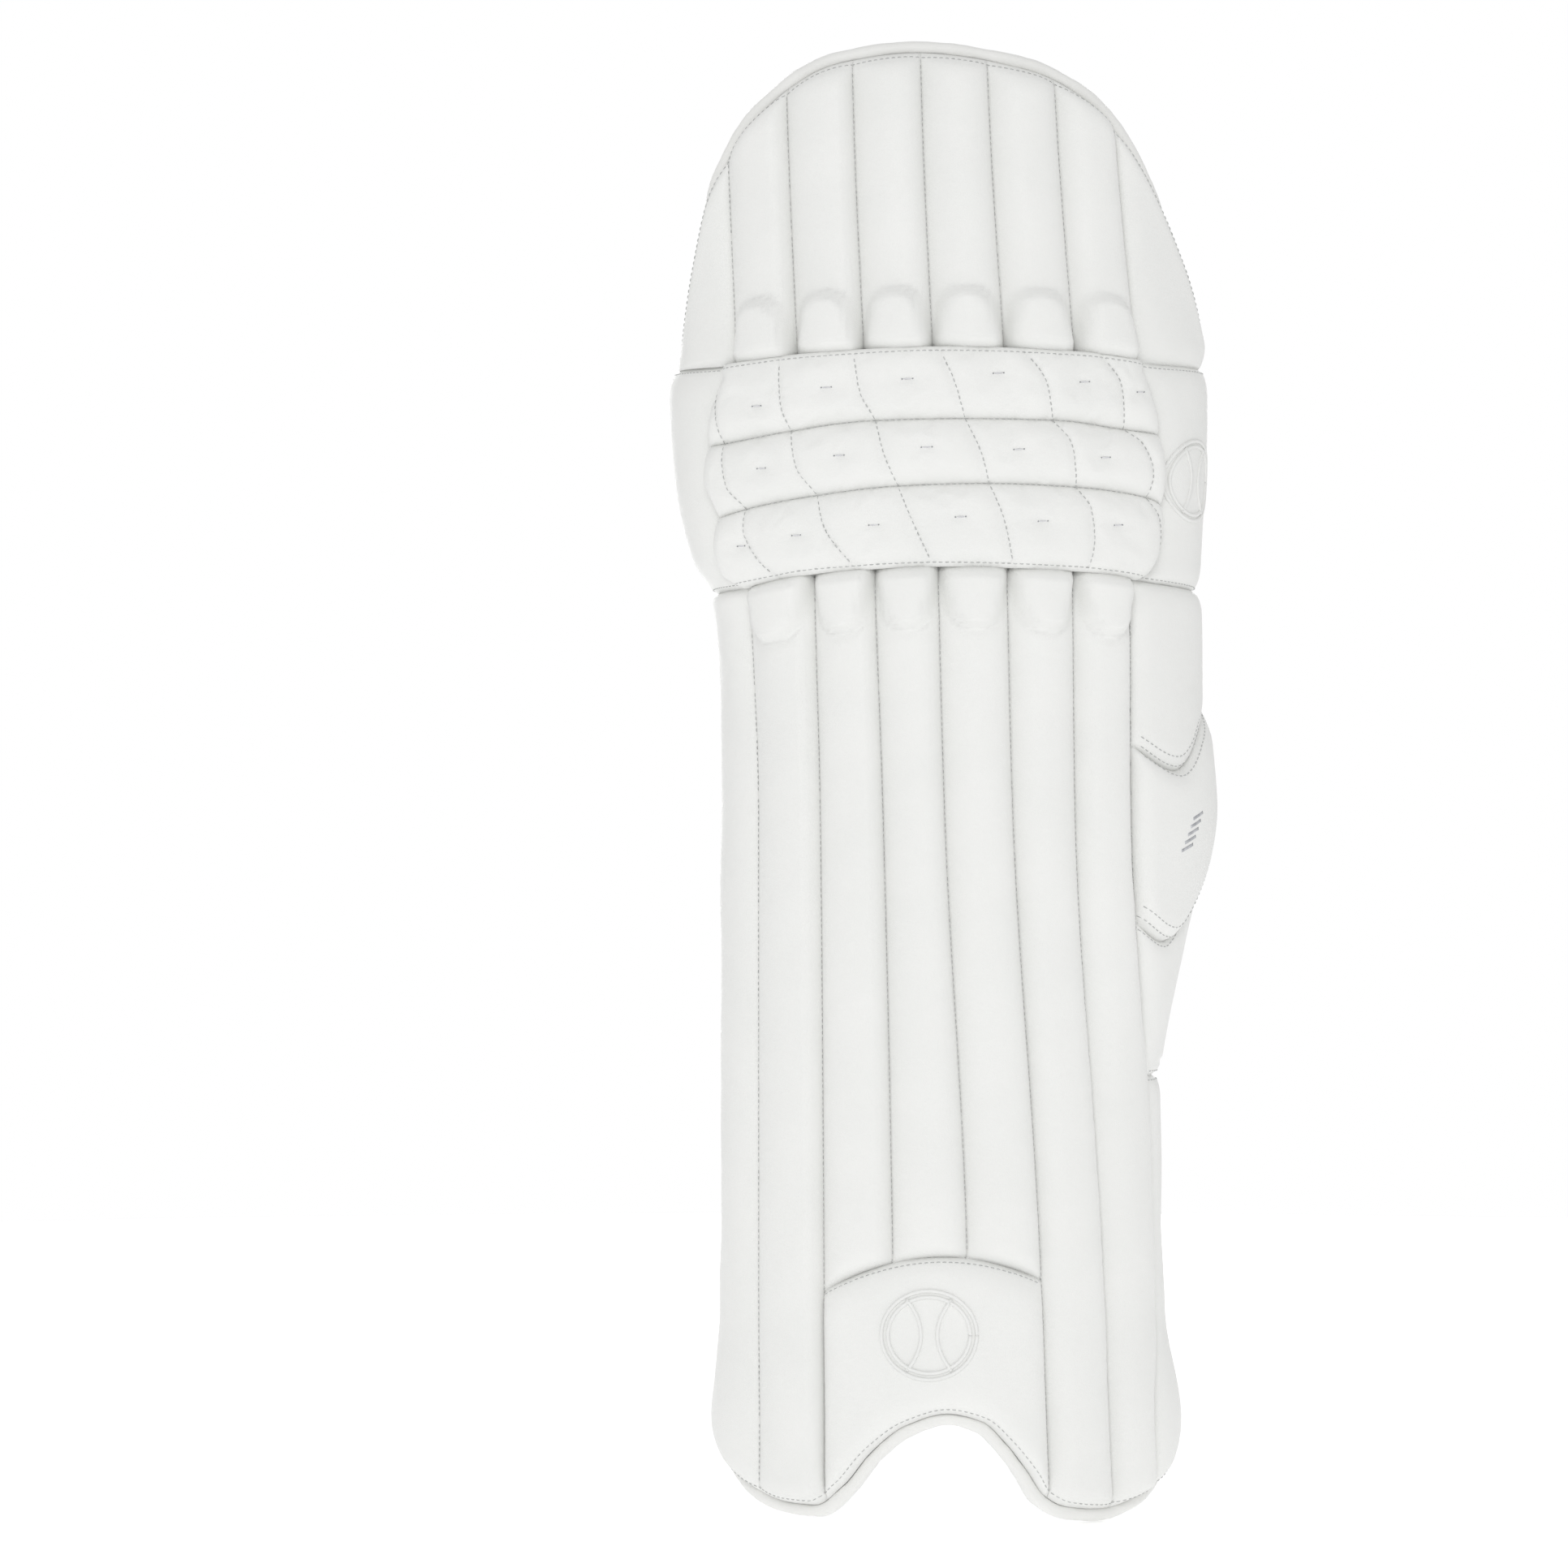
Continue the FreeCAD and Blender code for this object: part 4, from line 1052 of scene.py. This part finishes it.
def panel_trim(tree):
    """Silver chevrons pointing down the shin panel, above and below the middle strap, and the seam beside them."""
    chevrons = []
    for z in np.concatenate([np.arange(236.0, 348.0, 13.0), np.arange(420.0, 464.0, 13.0)]):
        for x0, x1, dz in ((-24.0, -13.0, 7.0), (-13.0, -2.0, -7.0)):
            t = np.linspace(0, 1, 9)
            zz = z + 4.0 + (dz * (t if dz < 0 else t - 1.0))
            chevrons.append((angle_at(x0 + (x1 - x0) * t, zz), zz))
    drawn("shin_panel_foil", "shin", tree, chevrons, SILVER_FOIL, 5.2, 0.1, True)
    stitching("shin_panel_stitching", "shin", tree, [upright(-18.7, 136, 482)], GREY_THREAD, 4.2, 2.6, 0.28, True)


def ankle_mark(tree):
    """An empty rounded frame, in ink."""
    q = np.linspace(0, 2 * math.pi, 121)
    box = lambda v, half: np.sign(v) * half * np.abs(v) ** 0.28
    x, z = -15.0 + box(np.cos(q), 15.0), 97.0 + box(np.sin(q), 17.5)
    drawn("ankle_mark", "shin", tree, [(angle_at(x, z), z)], INK, 1.1, 0.08, True)


def rear_details():
    trees = {name: tree_of([obj]) for name, obj in REAR.items()}
    quilt_stitches(trees)
    hat_back_marks(trees["hat_back_panel"])
    drawn("knee_cup_foil", "knee", trees["knee_cup_pad"], emblem(-9.0, 575.0, 23.0), SILVER_FOIL, 3.6, 0.12, True)
    panel_trim(trees["shin_panel_gloss"])
    ankle_mark(trees["ankle_pad_middle"])
    rim = rim_path(hat_top, np.linspace(4 - EDGE_HAT, EDGE_HAT - 4, 300), -3.0, 1)
    stitching("hat_back_stitching", "top_hat", trees["hat_back_panel"], [rim], WHITE_THREAD, 3.4, 2.4, 0.28, True,
              KNEE_TO_HAT)
    for word, left, right, side in (("outer", 20, 88, (19.6, 508, 616)), ("inner", -88, -29, (-28.6, 494, 614))):
        lines = [level(rim_of(FLAP_HIGH), left, right, shift=-5.5), upright(*side)]
        stitching(f"knee_flap_{word}_stitching", "knee", trees[f"knee_flap_{word}_cloth"], lines, WHITE_THREAD, 3.2,
                  2.2, 0.25, True)


# ---- straps ----
WEBBING, LOOP_STRAP, HOOK_TAPE = 1.8, 4.0, 1.2          # thicknesses
LOOP_OUT = -0.3 - HOOK_TAPE - 0.5                       # the loop strap's outer side, from the webbing's inner one
STRAP_BULGE, STRAP_CLEAR, STRAP_INSET, LOOP_BEND = 18.0, 3.5, 11.5, 36.0
# heights of each loop strap and webbing, and x of the tab's tip, the webbing's end, the peel line, the loop's end
STRAPS = {
    "top": dict(loop=(506, 544), web=(514.5, 545.5), tip=119, end=104, peel=20, loop_end=-58, edge=EDGE_KNEE,
                parent="knee"),
    "middle": dict(loop=(345, 413), web=(350, 412), end=95, peel=-18, loop_end=-38, edge=EDGE_SHIN, parent="shin"),
    "bottom": dict(loop=(134, 200), web=(137.5, 197), tip=76, end=40, peel=8, loop_end=-34, edge=EDGE_SHIN,
                   parent="shin"),
}


class Arc:
    """The arc, seen from above, that a closed strap lies on, from inside the inner wing to over the outer one."""

    def __init__(self, spec):
        z = sum(spec["web"]) / 2
        inner = form(-spec["edge"], z, 0) + (STRAP_INSET, -3.0, 0)
        phi, _ = side_path(1, spec["edge"], np.array([z]))
        outer = form(phi[0], z, -3.0) + (0, 3.0 + STRAP_CLEAR, 0)
        self.root = inner
        self.loop_root = form(spec["edge"], z, 0) + (-STRAP_INSET, -3.0, 0)
        chord = (outer - inner)[:2]
        long = np.hypot(*chord)
        self.radius = (long ** 2 / 4 + STRAP_BULGE ** 2) / (2 * STRAP_BULGE)
        rearward = np.array([-chord[1], chord[0]]) / long
        self.centre = (inner[:2] + outer[:2]) / 2 - rearward * (self.radius - STRAP_BULGE)

    def at(self, x, z, out, forward=0.0):
        x, z, out, forward = np.broadcast_arrays(*(np.asarray(v, float) for v in (x, z, out, forward)))
        angle = np.arcsin((x - self.centre[0]) / self.radius)
        return np.stack([self.centre[0] + (self.radius + out) * np.sin(angle),
                         self.centre[1] + (self.radius + out) * np.cos(angle) - forward, z], -1)

    def bend(self, x, end, offset):
        """How far a loop strap's root turns forward, towards the leg, at x."""
        total = self.at(end, 0.0, offset)[1] - self.loop_root[1]
        return total * smooth((np.asarray(x, float) - end + LOOP_BEND) / LOOP_BEND)


def band(name, arc, x0, x1, z0, z1, near, far, material, texture=None, step=0.62, forward=None):
    """A closed band along an arc, between its near side (towards the leg) and its far side. z0 and z1 may depend on
    the share along it, and texture(x, z) is added to the far side."""
    cols = max(12, int(abs(x1 - x0) / step))
    rows = max(8, int(abs(as_call(z1)(0.0) - as_call(z0)(0.0)) / step))
    s = np.linspace(0, 1, cols)[None, :]
    t = np.linspace(0, 1, rows)[:, None]
    x = x0 + (x1 - x0) * s + 0 * t
    z = as_call(z0)(s) * (1 - t) + as_call(z1)(s) * t
    push = 0.0 if forward is None else forward(x)
    edge = fall(np.minimum(t, 1 - t) * np.abs(as_call(z1)(s) - as_call(z0)(s)), 1.2, 2.0)
    thick = far - near
    top = far - 0.45 * thick * (1 - edge) + (0.0 if texture is None else texture(x, z) * edge)
    low = near + 0.3 * thick * (1 - edge)
    return closed(name, arc.at(x, z, low, push), arc.at(x, z, top, push), material, np.stack([x, z], -1))


def knurl(x, z):
    """Coarse webbing: staggered rows of small knots, 2 mm apart."""
    return 0.34 * np.cos(math.pi * x) * np.cos(math.pi * z / 1.15)


def slant_rib(x, z):
    """Finer webbing: thin ribs across the strap, leaning a little, each a row of knots."""
    return 0.2 * np.cos(2 * math.pi * (x + 0.18 * z) / 1.9) + 0.07 * np.cos(2 * math.pi * z / 1.5)


def tab_ribs(x, z):
    """Moulded ribs along the bottom strap's tab."""
    return 0.95 * np.abs(np.sin(math.pi * (z + 0.05 * x) / 3.75)) - 0.4


def tab_ribs_across(x, z):
    """Moulded ribs across the top strap's tab."""
    return 0.5 * np.abs(np.sin(math.pi * x / 2.2)) - 0.2


def webbing_material(name, along_mm, across_mm, lean=0.0):
    """Woven strap: knots where threads cross, each strand twisted, with painted highlight on the knots' tops and
    painted shade between them.
    """
    m = Nodes(name, 0.82, Sheen_Weight=0.25, Specular_IOR_Level=0.25)
    xyz = m.add("SeparateXYZ", {0: m.cut()}).outputs
    shifted = m.math("ADD", xyz[0], m.math("MULTIPLY", xyz[1], lean))
    a = m.math("COSINE", m.math("MULTIPLY", shifted, math.pi / (along_mm * MM)))
    b = m.math("COSINE", m.math("MULTIPLY", xyz[1], math.pi / (across_mm * MM)))
    knots = m.span(m.math("MULTIPLY", a, b), -1, 1, 0, 1)
    strands = m.math("SINE", m.math("MULTIPLY", m.math("ADD", xyz[0], xyz[1]), 2 * math.pi / (0.42 * MM)))
    # Base colour painted paler on the raised knots and darker in the hollows between them, as highlight and shade,
    # in patches of random strength.
    knot_shade_and_patches = m.math("MULTIPLY", knots, m.span(m.noise(0.8, 3), 0.2, 0.8, 0.7, 1.3))
    m.link(m.ramp(knot_shade_and_patches, (0.1, (0.66, 0.66, 0.635)), (0.5, (0.905, 0.905, 0.88))), "Base Color")
    m.bump((knots, 0.3), (m.span(strands, -1, 1, 0, 1), 0.05), (m.noise(0.5, 3), 0.08))
    return m.material


def pile_material():
    m = Nodes("loop_pile", 0.95, Sheen_Weight=0.6, Sheen_Roughness=0.6, Specular_IOR_Level=0.15)
    m.link(m.ramp(m.noise(1.6, 4, 0.75), (0.3, (0.58, 0.575, 0.595)), (0.7, (0.72, 0.715, 0.735))), "Base Color")
    m.bump((m.noise(1.1, 4, 0.8), 0.35), (m.noise(0.4, 2), 0.12))
    return m.material


def hook_material():
    m = Nodes("hook_tape", 0.6, Specular_IOR_Level=0.3)
    dots = m.add("TexVoronoi", {"Vector": m.place(), "Scale": 1000 / 0.9, "Randomness": 0.2}).outputs["Distance"]
    # The colour is painted pale on the hooks' raised tops and darker between them, as painted shade.
    m.link(m.ramp(dots, (0.1, (0.86, 0.86, 0.86)), (0.6, (0.66, 0.66, 0.67))), "Base Color")
    m.bump((m.span(dots, 0.0, 0.6, 1.0, 0.0), 0.5))
    return m.material


def tab_material():
    m = Nodes("tab_rubber", 0.55, Subsurface_Weight=0.05, Specular_IOR_Level=0.35)
    m.link(m.ramp(m.noise(10, 4), (0.3, (0.84, 0.815, 0.77)), (0.7, (0.88, 0.86, 0.825))), "Base Color")
    m.bump((m.noise(1.2, 3), 0.08))
    return m.material


def surface_threads(name, body, arc, runs, out, pitch=3.2, length=2.2, radius=0.26):
    """Stitches along a path of straight runs between corners (x, z) on a strap."""
    starts, ends = [], []
    for (xa, za), (xb, zb) in zip(runs, runs[1:]):
        run = math.hypot(xb - xa, zb - za)
        for s in np.arange(pitch * 0.4, run - length, pitch):
            starts.append((xa + (xb - xa) * s / run, za + (zb - za) * s / run))
            ends.append((xa + (xb - xa) * (s + length) / run, za + (zb - za) * (s + length) / run))
    a, b = (arc.at(*np.array(v).T, out) for v in (starts, ends))
    ups = arc.at(*np.array(starts).T, out + 1.0) - a
    finish_piece(thread_mesh(name, a, b, ups, radius, WHITE_THREAD), body, [])


def webbing_strap(name, spec, arc, material, texture, hooks):
    """The webbing from its root at the inner wing to its end, its stitches, and the hook tape under its end."""
    strap, tip = f"{name}_strap", f"{name}_strap_end"
    (z0, z1), end, peel = spec["web"], spec["end"], spec["peel"]
    fold, folded = (arc.at(x, (z0 + z1) / 2, 0.0) for x in (peel - 7, peel + 7))
    obj = band(f"{name}_webbing", arc, arc.root[0] + 2.5, end, z0, z1, 0.0, WEBBING, material, texture, 0.5)
    finish_piece(obj, strap, [f"{name}_strap_webbing", tip], (tip, fold, folded))
    if name != "middle":
        for k, x in enumerate((end - 6.0, end - 9.0)):
            surface_threads(f"{name}_webbing_stitching_{k + 1}", tip, arc, [(x, z0 + 2), (x, z1 - 2)],
                            WEBBING + 0.12, 2.4, 1.9)
    for k, z in enumerate((z0 + 2.6, z1 - 2.6)):
        surface_threads(f"{name}_hook_stitching_{k + 1}", tip, arc, [(peel + 10, z), (end - 6, z)], WEBBING + 0.12,
                        3.4, 2.5, 0.2)
    obj = band(f"{name}_hooks", arc, peel + 8, end - 12, z0 + 3, z1 - 3, -1.4, -0.05, hooks, None, 1.6)
    finish_piece(obj, tip, [f"{name}_hook_tape"])


def strap_patch(arc):
    """The pointed patch sewn on the middle strap, with a border seam and a fan of pressed lines."""
    low, high = 351.6, 411.2
    left = ([low, 387.2, 389.0, high], [-3.4, -16.2, 11.5, 24.0])
    right = ([low, 382.3, high], [97.0, 117.0, 97.3])
    heights = np.unique(np.concatenate([np.linspace(low, high, 92), [382.3, 387.2, 389.0]]))
    t = np.linspace(0, 1, 190)[None, :]
    z = heights[:, None] + 0 * t
    x0, x1 = np.interp(z, *left), np.interp(z, *right)
    x = x0 + (x1 - x0) * t
    edge = np.minimum(np.minimum(z - low, high - z), np.minimum((x - x0) * 0.85, (x1 - x) * 0.8))
    n = 1.25 * fall(edge, 1.1, 2.0) - 0.35 * np.exp(-((edge - 3.0) / 0.7) ** 2)
    inside = smooth((edge - 4.5) / 1.5)
    for slope, start in ((-0.20, 398.0), (-0.19, 388.0), (-0.20, 381.5), (-0.21, 377.0), (-0.22, 373.5),
                         (-0.235, 370.5), (-0.25, 368.0)):
        n = n - 0.28 * np.exp(-((z - start - slope * (100.0 - x)) / 0.55) ** 2) * inside
    base = WEBBING + 0.25
    obj = closed("middle_strap_patch", arc.at(x, z, base), arc.at(x, z, base + 0.6 + n), PATCH_LEATHER,
                 np.stack([x, z], -1))
    finish_piece(obj, "middle_strap_end", ["middle_pull_tab"])
    border = [(99.0, 408.3), (113.2, 382.3), (98.6, 354.6), (-0.8, 354.6), (-12.2, 384.6), (13.2, 386.0),
              (26.0, 408.3), (99.0, 408.3)]
    surface_threads("middle_patch_stitching", "middle_strap_end", arc, border, base + 1.65)


def pull_tab(name, spec, arc, rubber):
    """The moulded tab on a strap's end, rounded to its tip."""
    z0, z1 = spec["web"]
    mid, half = (z0 + z1) / 2, (z1 - z0 - 2) / 2
    low, high = (lambda s, sign=sign: mid + sign * half * (1.002 - np.clip(s, 0, 1) ** 2.3) for sign in (-1, 1))
    obj = band(f"{name}_tab", arc, spec["end"] - 5, spec["tip"], low, high, -0.35, 0.55, rubber,
               tab_ribs if name == "bottom" else tab_ribs_across, 0.5)
    finish_piece(obj, f"{name}_strap_end", [f"{name}_pull_tab"])


def bend_to_loop(name, arc, x, z, out):
    """The blend from the outer wing into a loop strap, over its root's last 20 mm."""
    root, away = (arc.at(at, z, out, float(arc.bend(at, x, out))) for at in (x, x - 20))
    return f"{name}_loop", root, away


def loop_strap(name, spec, arc, pile):
    """The padded loop strap under the webbing, and its two bound edges."""
    low, high = spec["loop"]
    x0, x1 = spec["loop_end"], arc.loop_root[0]
    forward = lambda x: arc.bend(x, x1, LOOP_OUT)
    blend_to = bend_to_loop(name, arc, x1, sum(spec["web"]) / 2, LOOP_OUT)
    obj = band(f"{name}_loop_pile", arc, x0, x1, low + 2, high - 2, LOOP_OUT - LOOP_STRAP, LOOP_OUT, pile, None,
               1.4, forward)
    finish_piece(obj, spec["parent"], [f"{name}_loop_strap"], blend_to)
    for word, z in (("lower", low + 1.6), ("upper", high - 1.6)):
        x = np.linspace(x0, x1, 120)
        centres = arc.at(x, z, LOOP_OUT - LOOP_STRAP / 2, forward(x))
        ups = np.repeat([[0.0, 0.0, 1.0]], 120, 0)
        obj = swept(f"{name}_loop_edge_{word}", centres, ups, np.cross(tangents(centres), ups), LINING_CLOTH, 1.3,
                    LOOP_STRAP / 2 + 0.2, 10, 500)
        finish_piece(obj, spec["parent"], [], blend_to)


def elastic_root(material):
    """The wide elastic that joins the middle loop strap to the outer wing."""
    arc = Arc(STRAPS["middle"])
    outer = LOOP_OUT - LOOP_STRAP - 0.4
    x1 = arc.loop_root[0] + 1.0
    low = lambda s: 347.0 - 9.0 * smooth(s)
    high = lambda s: 411.0 + 12.0 * smooth(s)
    obj = band("middle_loop_elastic", arc, 42.0, x1, low, high, outer - 1.3, outer, material, knurl, 0.6,
               lambda x: arc.bend(x, x1, outer))
    finish_piece(obj, "shin", [], bend_to_loop("middle", arc, x1, 380, outer))


def straps():
    coarse, fine = webbing_material("webbing", 1.0, 1.15), webbing_material("webbing_fine", 0.95, 60.0, 0.18)
    pile, hooks, rubber = pile_material(), hook_material(), tab_material()
    for name, spec in STRAPS.items():
        arc = Arc(spec)
        webbing_strap(name, spec, arc, *((fine, slant_rib) if name == "top" else (coarse, knurl)), hooks)
        if name == "middle":
            strap_patch(arc)
        else:
            pull_tab(name, spec, arc, rubber)
        loop_strap(name, spec, arc, pile)
    elastic_root(coarse)


def size_tag():
    low, high = (np.array(c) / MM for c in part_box("size_tag"))
    t = np.linspace(0, 1, 24)[None, :]
    s = np.linspace(0, 1, 18)[:, None]
    x = low[0] + (high[0] - low[0]) * t + 0 * s
    z = low[2] + (high[2] - low[2]) * s + 0 * t
    y = (low[1] + high[1]) / 2 + 0.9 * np.sin(t * 3.0) - 0.4 + 0 * s
    near, far = np.stack([x, y - 0.3, z], -1), np.stack([x, y + 0.3, z], -1)
    obj = closed("size_tag_cloth", near, far, LINING_CLOTH, np.stack([x, z], -1))
    finish_piece(obj, "knee", ["size_tag"])


# ---- camera, light and floor ----
def studio():
    """A white room, a key light before the pad, a softer one behind it, and a long lens straight in front."""
    scene = bpy.context.scene
    scene.view_settings.view_transform = "Standard"
    scene.view_settings.look = "None"
    world = bpy.data.worlds.new("studio")
    world.use_nodes = True
    tree = world.node_tree
    tree.nodes["Background"].inputs["Color"].default_value = (1.0, 1.0, 1.0, 1.0)
    seen = tree.nodes.new("ShaderNodeMapRange")        # a white backdrop that lights the object less than it shows
    seen.inputs["To Min"].default_value, seen.inputs["To Max"].default_value = 0.70, 1.0
    tree.links.new(tree.nodes.new("ShaderNodeLightPath").outputs["Is Camera Ray"], seen.inputs["Value"])
    tree.links.new(seen.outputs["Result"], tree.nodes["Background"].inputs["Strength"])
    scene.world = world

    def area(name, at, to, size, power):
        light = bpy.data.lights.new(name, "AREA")
        light.shape, light.size, light.energy = "DISK", size, power
        obj = bpy.data.objects.new(name, light)
        obj.location = at
        obj.rotation_euler = (Vector(to) - Vector(at)).to_track_quat("-Z", "Y").to_euler()
        scene.collection.objects.link(obj)
    area("key", (-0.25, -2.9, 1.6), (0, 0, 0.4), 1.0, 14.5)
    area("back", (-0.2, 3.0, 1.0), (0, 0, 0.4), 2.2, 32)

    pale = Nodes("pale_floor", 0.9)
    pale.link(pale.ramp(pale.noise(300, 2), (0.3, (0.93, 0.93, 0.93)), (0.7, (0.95, 0.95, 0.95))), "Base Color")
    pale.shader.inputs["Emission Color"].default_value = (1, 1, 1, 1)
    pale.shader.inputs["Emission Strength"].default_value = 0.27
    count, radius = 96, 2400.0
    q = np.linspace(0, 2 * math.pi, count, endpoint=False)
    ring = np.stack([radius * np.cos(q), radius * np.sin(q), 0 * q], -1)
    fans = [(count, k, (k + 1) % count) for k in range(count)]
    floor = mesh_object("floor", np.concatenate([ring, [[0, 0, 0]]]), [], pale.material, triangles=fans)
    floor.location.z = CAD_BOX[0][2] - 0.0005

    lens = bpy.data.cameras.new("camera")
    lens.lens, lens.sensor_width = 150.0, 36.0
    camera = bpy.data.objects.new("camera", lens)
    field = 0.8254                                     # the picture's width, in metres, at the front of the pad
    camera.location = (-0.0829, -0.045 - field * lens.lens / lens.sensor_width, 0.3862)
    camera.rotation_euler = (math.pi / 2, 0, 0)
    lens.clip_end = 50.0
    scene.collection.objects.link(camera)
    scene.camera = camera


hat_face()
shin_face()
knee_face()
bindings()
front_details()
linings()
gathers()
bolsters()
shin_panel()
knee_cup()
knee_flaps()
ankle_pads()
rear_details()
straps()
size_tag()
studio()
